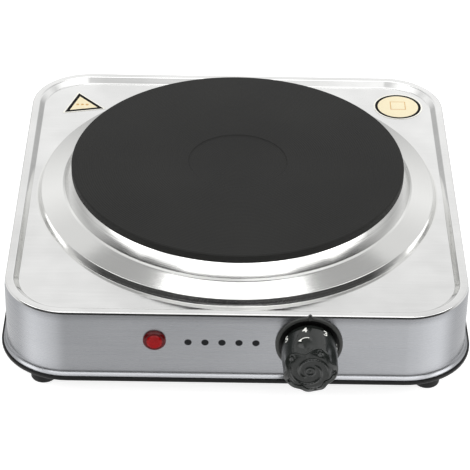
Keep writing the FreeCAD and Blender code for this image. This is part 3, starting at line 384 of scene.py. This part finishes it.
def lathe(bm, outline, cuts=96, centre=(0, 0, 0), axis="Z"):
    """Turns an outline of (radius, height) points about an axis through centre."""
    if axis == "Z":
        points = [Vector((r, 0, h)) for r, h in outline]
        turn_axis = Vector((0, 0, 1))
    else:
        points = [Vector((r, h, 0)) for r, h in outline]
        turn_axis = Vector((0, 1, 0))
    edges = draw_line(bm, [p + Vector(centre) for p in points])
    verts = list({v for e in edges for v in e.verts})
    bmesh.ops.spin(bm, geom=edges + verts, cent=Vector(centre), axis=turn_axis, angle=2 * math.pi,
                   steps=cuts, use_merge=True, use_duplicate=False)
    bmesh.ops.remove_doubles(bm, verts=bm.verts, dist=0.002)


def make_piece(name, bm, body, materials, replaces=(), smooth=32, recalc=True):
    """Turns a bmesh drawn in millimetres into a piece of the object."""
    if recalc:
        bmesh.ops.recalc_face_normals(bm, faces=bm.faces)
    bmesh.ops.scale(bm, vec=(MM, MM, MM), verts=bm.verts)
    mesh = bpy.data.meshes.new(name)
    bm.to_mesh(mesh)
    bm.free()
    for material in materials:
        mesh.materials.append(MATERIALS[material])
    mesh.shade_smooth()
    mesh.set_sharp_from_angle(angle=math.radians(smooth))
    piece = bpy.data.objects.new(name, mesh)
    bpy.context.scene.collection.objects.link(piece)
    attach(piece, body)
    if replaces:
        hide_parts(*replaces)
    return piece


def add_modifier(piece, kind, **settings):
    """Adds a modifier with its settings."""
    modifier = piece.modifiers.new(kind.title(), kind)
    for name, value in settings.items():
        setattr(modifier, name, value)
    return modifier


def paint(bm, number, test):
    """Gives the faces whose middle passes the test another of the piece's materials."""
    for face in bm.faces:
        if test(face.calc_center_median()):
            face.material_index = number


def radius_from_axis(point):
    return math.hypot(point.x - AXIS.x, point.y - AXIS.y)


# ---------------------------------------------------------------- housing

def sweep_round_square(bm, edges, half, corner):
    """Carries a section from the middle of the right side once round a square with round corners."""
    side = half - corner
    heading = Vector((0, 1, 0))
    out = Vector((1, 0, 0))
    runs = [side] + [2 * side] * 3 + [side]
    current = edges
    for number, length in enumerate(runs):
        steps = round(STRAIGHT_CUTS * length / (2 * side))
        for _ in range(steps):
            result = bmesh.ops.extrude_edge_only(bm, edges=current)["geom"]
            current = [g for g in result if isinstance(g, bmesh.types.BMEdge)]
            moved = [g for g in result if isinstance(g, bmesh.types.BMVert)]
            bmesh.ops.translate(bm, verts=moved, vec=heading * length / steps)
        if number == len(runs) - 1:
            break
        verts = list({v for e in current for v in e.verts})
        pivot = AXIS + (heading + out) * side
        result = bmesh.ops.spin(bm, geom=current + verts, cent=pivot, axis=(0, 0, 1), angle=math.pi / 2,
                                steps=CORNER_CUTS, use_merge=False, use_duplicate=False)["geom_last"]
        current = [g for g in result if isinstance(g, bmesh.types.BMEdge)]
        heading, out = -out, heading
    bmesh.ops.remove_doubles(bm, verts=bm.verts, dist=0.002)


def section_at_side(bm, outline):
    """Draws a section of (distance out from the axis, height) points at the middle of the right side."""
    return draw_line(bm, [Vector((AXIS.x + out, AXIS.y, height)) for out, height in outline])


def loop_near(bm, test):
    """The boundary edges whose ends both pass a test."""
    return [e for e in bm.edges if e.is_boundary and all(test(v.co) for v in e.verts)]


def housing():
    """Pressed stainless cover with its rim, sunk deck and domed platform."""
    bm = bmesh.new()
    slope_foot = HALF - RIM_WIDTH - RIM_SLOPE
    section = rounded([
        (slope_foot - RIM_INNER_FLAT, DECK, 0), (slope_foot, DECK, 1.0), (HALF - RIM_WIDTH, RIM_TOP, 1.6),
        (HALF - 0.8, RIM_TOP, 0.6), (HALF - 0.4, RIM_TOP - BEVEL_DROP, 0.5), (HALF, RIM_TOP - 3.9, 26.0),
        (HALF, LIP_BOTTOM + 1.8, 3.0),
        (HALF + LIP_FLARE - 0.3, LIP_BOTTOM + 0.4, 0.2), (HALF + LIP_FLARE, LIP_BOTTOM + 0.25, 0.1),
        (HALF + LIP_FLARE, LIP_BOTTOM, 0),
    ])
    sweep_round_square(bm, section_at_side(bm, section), HALF, CORNER)
    bmesh.ops.recalc_face_normals(bm, faces=bm.faces)
    dome = rounded([
        (FOOT_RADIUS + 0.9, DECK, 0), (FOOT_RADIUS, DECK, 0.2), (STEP_RADIUS, STEP_HEIGHT, 0.4),
        (SHELF_RADIUS, SHELF_HEIGHT, 0.8), (CROWN_RADIUS, CROWN_HEIGHT, 0.6), (CROWN_HOLE, CROWN_HEIGHT, 0),
    ])
    ring = draw_line(bm, [Vector((AXIS.x + r, AXIS.y, h)) for r, h in dome])
    ring_verts = list({v for e in ring for v in e.verts})
    bmesh.ops.spin(bm, geom=ring + ring_verts, cent=AXIS, axis=(0, 0, 1), angle=2 * math.pi,
                   steps=ROUND_CUTS, use_merge=True, use_duplicate=False)
    bmesh.ops.remove_doubles(bm, verts=bm.verts, dist=0.002)
    square = loop_near(bm, lambda p: abs(p.z - DECK) < 0.01 and radius_from_axis(p) > FOOT_RADIUS + 1.2)
    circle = loop_near(bm, lambda p: abs(p.z - DECK) < 0.01 and radius_from_axis(p) < FOOT_RADIUS + 1.0)
    bmesh.ops.bridge_loops(bm, edges=square + circle)
    paint(bm, 1, lambda p: p.z > RIM_TOP - BEVEL_DROP or (p.z > DECK - 0.5 and inside_rim(p)))
    paint(bm, 2, lambda p: radius_from_axis(p) < FOOT_RADIUS + 0.6)
    piece = make_piece("housing_cover", bm, "housing", ["housing", "deck", "platform"],
                       replaces=["housing_shell"], smooth=50)
    add_modifier(piece, "SOLIDIFY", thickness=SHEET * MM, offset=-1.0)
    add_modifier(piece, "WEIGHTED_NORMAL", keep_sharp=True, weight=80)
    return piece


def inside_rim(point):
    """True inside the flat top of the rim."""
    inner = HALF - 2.0
    side = HALF - CORNER
    x, y = abs(point.x - AXIS.x), abs(point.y - AXIS.y)
    over_x, over_y = max(x - side, 0), max(y - side, 0)
    return max(x, y) < inner and math.hypot(over_x, over_y) < inner - side


def base_pan():
    """Black enamelled pan: a hemmed rim that shows as a dark line, and a flat floor with vent slots."""
    bm = bmesh.new()
    half = (PAN_HIGH.x - PAN_LOW.x) / 2
    bottom, top = PAN_LOW.z, PAN_HIGH.z
    floor = bottom + PAN_SHEET
    rim_foot = half - PAN_RIM
    inner = half - PAN_FLOOR_INSET
    section = rounded([
        (inner, floor, 0), (rim_foot, floor, 0.2), (rim_foot, top, 0.4), (half, top, 0.5),
        (half, bottom, 0.9), (half - 5, bottom, 0), (inner, bottom, 0),
    ])
    sweep_round_square(bm, section_at_side(bm, section), half, CORNER + 3.0)
    for level in (floor, bottom):
        edges = loop_near(bm, lambda p, level=level: abs(p.z - level) < 0.01)
        bmesh.ops.holes_fill(bm, edges=edges, sides=0)
    piece = make_piece("pan_enamelled", bm, "housing", ["enamel"], replaces=["base_pan"])
    cutter = bmesh.new()
    for k in range(VENT_COUNT):
        slot = bmesh.ops.create_cube(cutter, size=1.0)["verts"]
        bmesh.ops.scale(cutter, vec=VENT_SIZE, verts=slot)
        place = (AXIS.x, AXIS.y + VENT_PITCH * (k - (VENT_COUNT - 1) / 2), bottom)
        bmesh.ops.translate(cutter, vec=place, verts=slot)
    cut_with(piece, cutter, "vent_cutter")


def cut_with(piece, cutter, name):
    """Cuts a piece's mesh with a closed bmesh in millimetres."""
    bmesh.ops.scale(cutter, vec=(MM, MM, MM), verts=cutter.verts)
    mesh = bpy.data.meshes.new(name)
    cutter.to_mesh(mesh)
    cutter.free()
    tool = bpy.data.objects.new(name, mesh)
    bpy.context.scene.collection.objects.link(tool)
    add_modifier(piece, "BOOLEAN", operation="DIFFERENCE", object=tool, solver="EXACT")
    depsgraph = bpy.context.evaluated_depsgraph_get()
    result = bpy.data.meshes.new_from_object(piece.evaluated_get(depsgraph))
    result.set_sharp_from_angle(angle=math.radians(32))
    piece.modifiers.clear()
    piece.data = result
    bpy.data.objects.remove(tool)


def feet():
    """Four moulded rubber feet with a rolled lower edge and a screw recess."""
    bore, recess, seat = 2.2, 4.0, 5.0
    for name in ("foot_front_left", "foot_front_right", "foot_rear_left", "foot_rear_right"):
        low, high = size_of(name)
        radius = (high.x - low.x) / 2
        centre = ((low.x + high.x) / 2, (low.y + high.y) / 2, 0)
        bm = bmesh.new()
        outline = rounded([
            (bore, seat, 0), (recess, seat, 0.2), (recess, 0, 0.5), (radius - 0.1, 0, 1.4),
            (radius, high.z, 0.5), (bore, high.z, 0.2), (bore, seat, 0),
        ])
        lathe(bm, outline, 48, centre)
        make_piece(name + "_rubber", bm, "housing", ["rubber"], replaces=[name])


# ---------------------------------------------------------------- hot plate and spill ring

def hot_plate():
    """Cast-iron plate with a soft edge and a shallow round recess in the middle of its top."""
    bm = bmesh.new()
    under = PLATE_LOW.z
    recess_floor = PLATE_TOP - RECESS_DEPTH
    side_foot = PLATE_TOP - PLATE_SIDE
    spigot, wall_outside, wall_inside, boss, stud_hole = 90.0, 85.5, 81.0, 9.0, 4.0
    spigot_foot, groove_roof, hole_roof = 61.0, 63.5, 62.5
    outline = rounded([
        (0, recess_floor, 0), (RECESS_RADIUS, recess_floor, 0.3), (RECESS_RADIUS + 0.6, PLATE_TOP, 0.3),
        (PLATE_RADIUS, PLATE_TOP, 0.9), (PLATE_RADIUS, side_foot, 0.2), (spigot, side_foot, 0),
        (spigot, spigot_foot, 0.2), (wall_outside, spigot_foot, 0), (wall_outside, under, 0.3),
        (wall_inside, under, 0.3), (wall_inside, groove_roof, 0), (boss, groove_roof, 0), (boss, under, 0.3),
        (stud_hole, under, 0), (stud_hole, hole_roof, 0), (0, hole_roof, 0),
    ])
    lathe(bm, outline, 192, AXIS)
    make_piece("plate_casting", bm, "housing", ["plate"], replaces=["hot_plate"])


def spill_ring():
    """Pressed ring under the plate's edge."""
    bm = bmesh.new()
    inner, shoulder, sheet = 90.1, 91.5, 0.6
    foot = (RING_HIGH.x - RING_LOW.x) / 2
    top, bottom = RING_HIGH.z, RING_LOW.z
    outline = rounded([
        (inner, top, 0), (shoulder, top, 0.5), (foot, bottom, 0.25), (foot - sheet, bottom + sheet / 2, 0.1),
        (shoulder - sheet, top - sheet, 0.3), (inner, top - sheet, 0), (inner, top, 0),
    ])
    lathe(bm, outline, 192, AXIS)
    make_piece("spill_ring_polished", bm, "housing", ["ring"],
               replaces=["spill_ring"])


# ---------------------------------------------------------------- knob, bezel and lamp

LOBES = 5
FIRST_LOBE = math.radians(22)
LOBE_BEVEL = 2.2
FLUTE_DEPTH = 2.0
DIMPLE_CIRCLE = 12.2
SWIRL_TURN = 4.6
KNOB_RADIUS = (KNOB_HIGH.x - KNOB_LOW.x) / 2
KNOB_BACK = KNOB_HIGH.y
KNOB_FRONT = KNOB_LOW.y
NECK_RADIUS = 13.4
NUMERAL_PLACE = 7.2
BARREL_START = FRONT_WALL - 5.0


def angle_round_knob(point):
    """Angle about the knob's axis, 0 at the top, growing towards +X."""
    return math.atan2(point.x - KNOB_AXIS.x, point.z - KNOB_AXIS.z)


def knob():
    """Moulded knob: neck, fluted barrel and a dished face with swirled ridges and finger dimples."""
    bm = bmesh.new()
    face = KNOB_FRONT
    rows = 44
    dish = [(11.4 * (1 - i / rows), face + 0.7) for i in range(rows + 1)]
    edge = rounded([
        (NECK_RADIUS - 1.8, KNOB_BACK, 0), (NECK_RADIUS, KNOB_BACK, 0.3), (NECK_RADIUS, BARREL_START, 0.2),
        (KNOB_RADIUS, BARREL_START - 0.5, 0.4), (KNOB_RADIUS, face, 0.9), (11.9, face, 0.4),
        (11.4, face + 0.7, 0),
    ], cuts=6)
    barrel = [(p.x, p.y) for p in edge]
    fine = []
    for (r0, h0), (r1, h1) in zip(barrel, barrel[1:]):
        pieces = max(1, round(math.hypot(r1 - r0, h1 - h0) / 0.5))
        fine += [(r0 + (r1 - r0) * k / pieces, h0 + (h1 - h0) * k / pieces) for k in range(pieces)]
    hub = [(NECK_RADIUS - 1.8, KNOB_BACK)]
    inside = [(3.1, KNOB_BACK - 4.5), (5.6, KNOB_BACK - 4.5), (5.6, face + 4.5), (11.6, face + 4.5)]
    lathe(bm, inside + hub + fine[1:] + dish, 180, (KNOB_AXIS.x, 0, KNOB_AXIS.z), axis="Y")
    shape_knob(bm, face)
    make_piece("knob_moulded", bm, "knob", ["knob"], replaces=["control_knob"],
               smooth=40)


def shape_knob(bm, face):
    """Presses the finger flutes, bevelled lobes, dimples and face ridges into the turned knob."""
    length = BARREL_START - face
    for vert in bm.verts:
        offset = Vector((vert.co.x - KNOB_AXIS.x, 0, vert.co.z - KNOB_AXIS.z))
        radius = offset.length
        inside = vert.co.y > face + 2.5 and radius < 12.0
        if inside or radius < 0.01:
            continue
        turn = angle_round_knob(vert.co)
        lobe = 0.5 + 0.5 * math.cos(LOBES * (turn - FIRST_LOBE))
        along = smooth_step((BARREL_START - vert.co.y) / length, 0.35, 0.8)
        near_face = smooth_step(vert.co.y, face + 3.5, face)
        if radius > 11.7 and vert.co.y < BARREL_START:
            depth = FLUTE_DEPTH * along * (1 - lobe) ** 2.2
            vert.co.x = KNOB_AXIS.x + offset.x * (radius - depth) / radius
            vert.co.z = KNOB_AXIS.z + offset.z * (radius - depth) / radius
        vert.co.y += LOBE_BEVEL * near_face * lobe * smooth_step(radius, 10.0, 14.2)
        vert.co.y += near_face * face_relief(radius, turn)


def smooth_step(amount, low, high):
    """Rises softly from 0 at low to 1 at high."""
    share = min(max((amount - low) / (high - low), 0), 1)
    return share * share * (3 - 2 * share)


def ridge(distance, width):
    """A rounded ridge of height 1 and the given half width."""
    return math.exp(-(distance / width) ** 2)


def face_relief(radius, turn):
    """Millimetres that the face goes in: two spiral ridges, a centre button, a dimple on each lobe."""
    relief = -0.4 * ridge(radius - 2.3, 0.55) - 0.25 * ridge(radius, 0.8)
    for start in (0.4, 0.4 + math.pi):
        wound = (turn - start) % (2 * math.pi)
        spiral = 4.2 + 5.8 * wound / SWIRL_TURN
        ends = smooth_step(wound, 0, 0.5) * smooth_step(wound, SWIRL_TURN + 0.1, SWIRL_TURN - 0.6)
        relief -= 0.6 * ridge(radius - spiral, 0.5) * ends
    for k in range(LOBES):
        centre = FIRST_LOBE + 2 * math.pi * k / LOBES
        away = math.hypot(radius * math.cos(turn) - DIMPLE_CIRCLE * math.cos(centre),
                          radius * math.sin(turn) - DIMPLE_CIRCLE * math.sin(centre))
        relief += 1.4 * ridge(away, 1.05)
    return relief


def wrap_on_barrel(name, bm, turn, distance, material, lift=0.05):
    """Bends a flat mark round the knob's barrel: its x runs round the barrel, its y towards the wall."""
    for vert in bm.verts:
        angle = turn + vert.co.x / KNOB_RADIUS
        radius = KNOB_RADIUS + lift
        vert.co = Vector((KNOB_AXIS.x + radius * math.sin(angle), FRONT_WALL - distance + vert.co.y,
                          KNOB_AXIS.z + radius * math.cos(angle)))
    return make_piece(name, bm, "knob", [material], smooth=60, recalc=False)


def text_mark(text, height):
    """A flat mesh of a numeral, centred on the origin, in millimetres."""
    curve = bpy.data.curves.new("numeral", "FONT")
    curve.body = text
    curve.size = height / 0.7
    curve.align_x = "CENTER"
    curve.align_y = "CENTER"
    curve.offset = 0.11
    letter = bpy.data.objects.new("numeral", curve)
    bpy.context.scene.collection.objects.link(letter)
    depsgraph = bpy.context.evaluated_depsgraph_get()
    depsgraph.update()
    mesh = bpy.data.meshes.new_from_object(letter.evaluated_get(depsgraph))
    bpy.data.objects.remove(letter)
    bm = bmesh.new()
    bm.from_mesh(mesh)
    bpy.data.meshes.remove(mesh)
    bmesh.ops.triangulate(bm, faces=bm.faces)
    bmesh.ops.subdivide_edges(bm, edges=[e for e in bm.edges if e.calc_length() > 0.6], cuts=1)
    return bm


def dial_marks():
    """White numerals round the back of the barrel, a dot for off, and a curved arrow."""
    step = math.radians(44.5)
    turn_of_4 = math.radians(-11.4)
    for number in (4, 3, 5, 2, 1):
        mark = text_mark(str(number), 3.8)
        wrap_on_barrel(f"numeral_{number}", mark, turn_of_4 + (4 - number) * step, NUMERAL_PLACE, "numerals")
    dot = bmesh.new()
    bmesh.ops.create_circle(dot, cap_ends=True, segments=24, radius=0.9)
    wrap_on_barrel("off_dot", dot, turn_of_4 + 4 * step, NUMERAL_PLACE, "numerals")
    arrow = bmesh.new()
    head = [arrow.verts.new((x, y, 0)) for x, y in ((-2.9, -0.6), (-1.0, 0.7), (-1.1, -1.9))]
    arrow.faces.new(head[::-1])
    for k in range(6):
        start = math.radians(150 - 16 * k)
        end = math.radians(150 - 16 * (k + 1))
        band = ((start, 2.0), (start, 2.7), (end, 2.6), (end, 2.1))
        corners = [(math.cos(a) * r * 1.3 + 1.2, math.sin(a) * r - 1.6) for a, r in band]
        arrow.faces.new([arrow.verts.new((x, y, 0)) for x, y in corners])
    bmesh.ops.remove_doubles(arrow, verts=arrow.verts, dist=0.01)
    wrap_on_barrel("turn_arrow", arrow, math.radians(-15), 14.2, "numerals")


def bezel():
    """Fixed dial ring round the knob with its pointer. The faces of its well get the near-black enamel finish as
    painted shade.
    """
    bm = bmesh.new()
    centre = (KNOB_AXIS.x, 0, KNOB_AXIS.z)
    front = BEZEL_LOW.y + 0.8
    radius = (BEZEL_HIGH.x - BEZEL_LOW.x) / 2
    hole, well, floor = 8.4, 15.6, FRONT_WALL - 0.8
    outline = rounded([
        (hole, FRONT_WALL, 0), (radius, FRONT_WALL, 0.1), (radius, front, 0.7), (well, front, 0.3),
        (well, floor, 0.1), (hole, floor, 0), (hole, FRONT_WALL, 0),
    ])
    lathe(bm, outline, 128, centre, axis="Y")
    # painted shade: the faces inside the well, round the knob, get the near-black enamel finish for the shade in
    # the gap
    paint(bm, 1, lambda p: math.hypot(p.x - KNOB_AXIS.x, p.z - KNOB_AXIS.z) < well - 0.1)
    make_piece("bezel_ring", bm, "housing", ["bezel", "enamel"], replaces=["knob_bezel"])
    bezel_pointer(front, well + 0.3)


def bezel_pointer(front, root):
    """Small raised pointer that stands from the bezel's face at its top."""
    pointer = bmesh.new()
    reach = BEZEL_HIGH.z - KNOB_AXIS.z
    middle = (root + reach) / 2
    shape = ((0, root), (1.5, middle), (0.7, reach - 0.5), (0, reach), (-0.7, reach - 0.5), (-1.5, middle))
    verts = [pointer.verts.new((KNOB_AXIS.x + x, front + 0.2, KNOB_AXIS.z + z)) for x, z in shape]
    flat = pointer.faces.new(verts)
    pointer.normal_update()
    bmesh.ops.inset_region(pointer, faces=[flat], thickness=0.55, use_boundary=True)
    bmesh.ops.translate(pointer, verts=flat.verts, vec=(0, 0.35, 0))
    outer = [e for e in pointer.edges if e.is_boundary]
    skirt = bmesh.ops.extrude_edge_only(pointer, edges=outer)["geom"]
    skirt_verts = [g for g in skirt if isinstance(g, bmesh.types.BMVert)]
    bmesh.ops.translate(pointer, verts=skirt_verts, vec=(0, 1.2, 0))
    shift = BEZEL_LOW.y - (front + 0.2)
    bmesh.ops.translate(pointer, verts=pointer.verts, vec=(0, max(shift, -0.6), 0))
    make_piece("bezel_pointer", pointer, "housing", ["bezel"])


def lamp():
    """Red lens with a raised rim, a faceted dome and a brighter core."""
    bm = bmesh.new()
    front = LENS_LOW.y
    radius = (LENS_HIGH.x - LENS_LOW.x) / 2
    outline = rounded([
        (0, front + 0.15, 0), (2.4, front + 0.15, 0.8), (3.4, front, 0.4), (4.3, front + 1.0, 0.4),
        (5.0, front + 0.8, 0.3), (radius, front + 1.7, 0.5), (radius, FRONT_WALL, 0.1), (4.6, FRONT_WALL, 0),
        (4.6, LENS_HIGH.y, 0), (3.6, LENS_HIGH.y, 0), (3.6, FRONT_WALL, 0), (0, FRONT_WALL - 0.6, 0),
    ])
    lathe(bm, outline, 64, (LAMP_X, 0, LAMP_Z), axis="Y")
    paint(bm, 1, lambda p: p.y < front + 1.1 and math.hypot(p.x - LAMP_X, p.z - LAMP_Z) < 3.9)
    make_piece("lamp_lens_moulded", bm, "housing", ["lens", "lens_core"],
               replaces=["lamp_lens"])


def maker_marks():
    """A plain printed row of dots between the lamp and the knob."""
    first, pitch, radius, lift = -25.0, 8.8, 1.9, 0.04
    height = 36.4
    for k in range(5):
        bm = bmesh.new()
        bmesh.ops.create_circle(bm, cap_ends=True, segments=32, radius=radius,
                                matrix=Matrix.Rotation(math.radians(90), 4, "X"))
        bmesh.ops.translate(bm, vec=(first + pitch * k, FRONT_WALL - lift, height), verts=bm.verts)
        make_piece(f"printed_dot_{k + 1}", bm, "housing", ["print"], recalc=False)


# ---------------------------------------------------------------- labels

# a sticker's materials in order: margin, border, field and mark
STICKER_INKS = ["label_white", "label_black", "label_cream", "label_ochre"]


def face_label(bm, faces, steps):
    """Insets a label's outline into bands and gives each band its ink."""
    bm.normal_update()
    for thickness, ink in steps:
        bmesh.ops.inset_region(bm, faces=faces, thickness=thickness, use_even_offset=True,
                               use_boundary=True)
        for face in faces:
            face.material_index = ink


def round_label():
    """Round blank sticker: white margin, black ring, cream field and a plain square."""
    centre = (ROUND_LOW + ROUND_HIGH) / 2
    radius = (ROUND_HIGH.x - ROUND_LOW.x) / 2
    bm = bmesh.new()
    disc = bmesh.ops.create_circle(bm, cap_ends=True, segments=72, radius=radius)
    face = disc["verts"][0].link_faces[0]
    face_label(bm, [face], ((0.9, 1), (1.6, 2)))
    square = bmesh.ops.create_grid(bm, x_segments=1, y_segments=1, size=4.6)["verts"]
    bmesh.ops.translate(bm, verts=square, vec=(0, 1.2, 0.03))
    outline = square[0].link_faces[0]
    outline.material_index = 3
    face_label(bm, [outline], ((0.55, 2),))
    bmesh.ops.translate(bm, verts=bm.verts, vec=(centre.x, centre.y, ROUND_HIGH.z - 0.05))
    make_piece("round_sticker", bm, "housing", STICKER_INKS, replaces=["round_label"],
               recalc=False)


def triangle_label():
    """Triangular blank sticker: white margin, black border and cream field."""
    high = size_of("triangle_label")[1]
    node = frame["nodes"]["triangle_label"]
    tips = sorted({(round(v.co.x / MM, 2), round(v.co.y / MM, 2)) for v in node.data.vertices})
    middle = Vector((sum(x for x, _ in tips) / len(tips), sum(y for _, y in tips) / len(tips)))
    tips.sort(key=lambda p: math.atan2(p[1] - middle.y, p[0] - middle.x))
    bm = bmesh.new()
    face = bm.faces.new([bm.verts.new((x, y, high.z - 0.05)) for x, y in tips])
    face_label(bm, [face], ((0.8, 1), (1.9, 2)))
    for k in range(3):
        dot = bmesh.ops.create_circle(bm, cap_ends=True, segments=20, radius=0.9)["verts"]
        bmesh.ops.translate(bm, verts=dot, vec=(middle.x + 2.8 * (k - 1), middle.y, high.z - 0.02))
        dot[0].link_faces[0].material_index = 3
    make_piece("triangle_sticker", bm, "housing", STICKER_INKS,
               replaces=["triangle_label"], recalc=False)


# ---------------------------------------------------------------- stage

def banded(tree, source, bands):
    """Turns a direction's part along an axis, -1 to 1, into the brightness of (place, brightness) bands."""
    place = add_node(tree, "ShaderNodeMapRange", {"Value": source, "From Min": -1.0}).outputs[0]
    ramp = add_node(tree, "ShaderNodeValToRGB", {0: place})
    stops = ramp.color_ramp.elements
    while len(stops) < len(bands):
        stops.new(0.5)
    for stop, (part, brightness) in zip(stops, bands):
        stop.position = (part + 1) / 2
        stop.color = (brightness, brightness, brightness, 1)
    return ramp.outputs[0]


OVERHEAD = (0, 0.40, 0.92)
# the bands ahead are given at half their product's brightness
SKY_GAIN = 2.0


def floor_board():
    """Plain white floor that reflections don't show."""
    bm = bmesh.new()
    bmesh.ops.create_circle(bm, cap_ends=True, segments=96, radius=1.6)
    material, _, shader = start_material("matt_white_board", Roughness=0.9, Emission_Strength=0.8)
    shader.inputs["Base Color"].default_value = colour("#c4c4c4")
    shader.inputs["Emission Color"].default_value = colour("#ffffff")
    floor = stage_object("floor", bm, material)
    bpy.context.scene.collection.objects.link(floor)
    floor.visible_glossy = False


def stage_object(name, bm, material):
    """Makes a mesh of the stage, which isn't part of the object."""
    mesh = bpy.data.meshes.new(name)
    bm.to_mesh(mesh)
    bm.free()
    mesh.materials.append(material)
    return bpy.data.objects.new(name, mesh)


def studio_sky():
    """Bright surroundings, with a dim band ahead that polished steel reflects as dark lines."""
    world = bpy.data.worlds.new("studio")
    bpy.context.scene.world = world
    world.use_nodes = True
    sky = world.node_tree
    sky.nodes.clear()
    coords = add_node(sky, "ShaderNodeTexCoord")
    parts = add_node(sky, "ShaderNodeSeparateXYZ", {0: coords.outputs["Generated"]})
    # dim at the horizon, brighter to both sides and to the right
    by_height = banded(sky, parts.outputs["Z"], (
        (-1, 0.9), (-0.6, 0.9), (-0.4, 0.7), (-0.14, 0.03), (0.375, 0.03), (0.42, 0.86)))
    by_side = banded(sky, parts.outputs["X"], (
        (-0.8, 0.95), (-0.3, 0.64), (-0.12, 0.45), (0.015, 0.43), (0.075, 0.7), (0.35, 0.75),
        (0.75, 0.95)))
    ahead = multiply_patterns(sky, multiply_patterns(sky, by_height, by_side), SKY_GAIN)
    behind = banded(sky, parts.outputs["Z"], (
        (-1, 0.97), (-0.14, 0.8), (0.1, 0.45), (0.2, 0.6), (0.38, 0.87), (0.5, 1.0),
        (0.64, 0.78), (1.0, 0.85)))
    turned = spread(sky, parts.outputs["Y"], 0, 1, -0.25, 0.15)
    shade = blend_colours(sky, turned, ahead, behind)
    background = add_node(sky, "ShaderNodeBackground", {"Color": shade, "Strength": 1.0})
    output = add_node(sky, "ShaderNodeOutputWorld")
    sky.links.new(background.outputs[0], output.inputs[0])


def studio_lights():
    """Soft boxes above, ahead and on both sides, and a dim card round the one above."""
    # name, direction from the object (right, back, up), distance, width, height, brightness
    soft_box("overhead_box", OVERHEAD, 1.9, 0.70, 0.9, 1.5)
    soft_box("front_box", (0, -0.788, 0.616), 2.0, 2.4, 0.9, 1.3)
    soft_box("left_box", (-0.9, -0.25, 0.60), 1.8, 0.9, 0.8, 1.0)
    soft_box("right_box", (0.9, -0.25, 0.60), 1.8, 0.9, 0.8, 1.2)
    grey_card("ceiling", OVERHEAD, 2.2, 2.4, 1.0, 0.42)


def face_object(item, direction, distance):
    """Stands a light or card at a distance from the object, facing it."""
    heading = Vector(direction).normalized()
    item.location = heading * distance
    item.rotation_euler = (-heading).to_track_quat("-Z", "Y").to_euler()
    bpy.context.scene.collection.objects.link(item)


def soft_box(name, direction, distance, width, height, brightness):
    """A rectangular soft light of even brightness."""
    light = bpy.data.lights.new(name, "AREA")
    light.shape = "RECTANGLE"
    light.size, light.size_y = width, height
    light.energy = brightness * math.pi * width * height
    face_object(bpy.data.objects.new(name, light), direction, distance)


def grey_card(name, direction, distance, width, height, brightness):
    """A card of even brightness that only reflections see, for the gap beside a soft box."""
    bm = bmesh.new()
    bmesh.ops.create_grid(bm, x_segments=1, y_segments=1, size=0.5)
    bmesh.ops.scale(bm, vec=(width, height, 1), verts=bm.verts)
    material, _, shader = start_material("grey_felt", Roughness=1.0, Emission_Strength=brightness)
    shader.inputs["Base Color"].default_value = colour("#000000")
    shader.inputs["Emission Color"].default_value = colour("#ffffff")
    card = stage_object(name, bm, material)
    face_object(card, direction, distance)
    card.visible_camera = card.visible_diffuse = card.visible_shadow = False


def camera():
    """Long lens, looking down at the front from a little left of centre."""
    azimuth, elevation, roll = (math.radians(a) for a in (-0.443, 34.467, 1.103))
    distance = 1203.57
    target = Vector((-0.78, AXIS.y, 20.12))
    level = math.cos(elevation)
    back = Vector((math.sin(azimuth) * level, -math.cos(azimuth) * level, math.sin(elevation)))
    right = Vector((math.cos(azimuth), math.sin(azimuth), 0))
    up = back.cross(right)
    turned_right = right * math.cos(roll) + up * math.sin(roll)
    turned_up = up * math.cos(roll) - right * math.sin(roll)
    lens = bpy.data.cameras.new("camera")
    lens.sensor_width = 36.0
    lens.lens = 161.66
    lens.clip_end = 50
    view = bpy.data.objects.new("camera", lens)
    axes = Matrix((turned_right, turned_up, back)).transposed()
    view.matrix_world = Matrix.Translation((target + back * distance) * MM) @ axes.to_4x4()
    bpy.context.scene.collection.objects.link(view)
    bpy.context.scene.camera = view


# ---------------------------------------------------------------- build

camera()
floor_board()
studio_sky()
studio_lights()
bpy.context.scene.view_settings.view_transform = "Standard"
finish_frame_nodes()
housing()
base_pan()
feet()
hot_plate()
spill_ring()
knob()
dial_marks()
bezel()
lamp()
maker_marks()
round_label()
triangle_label()
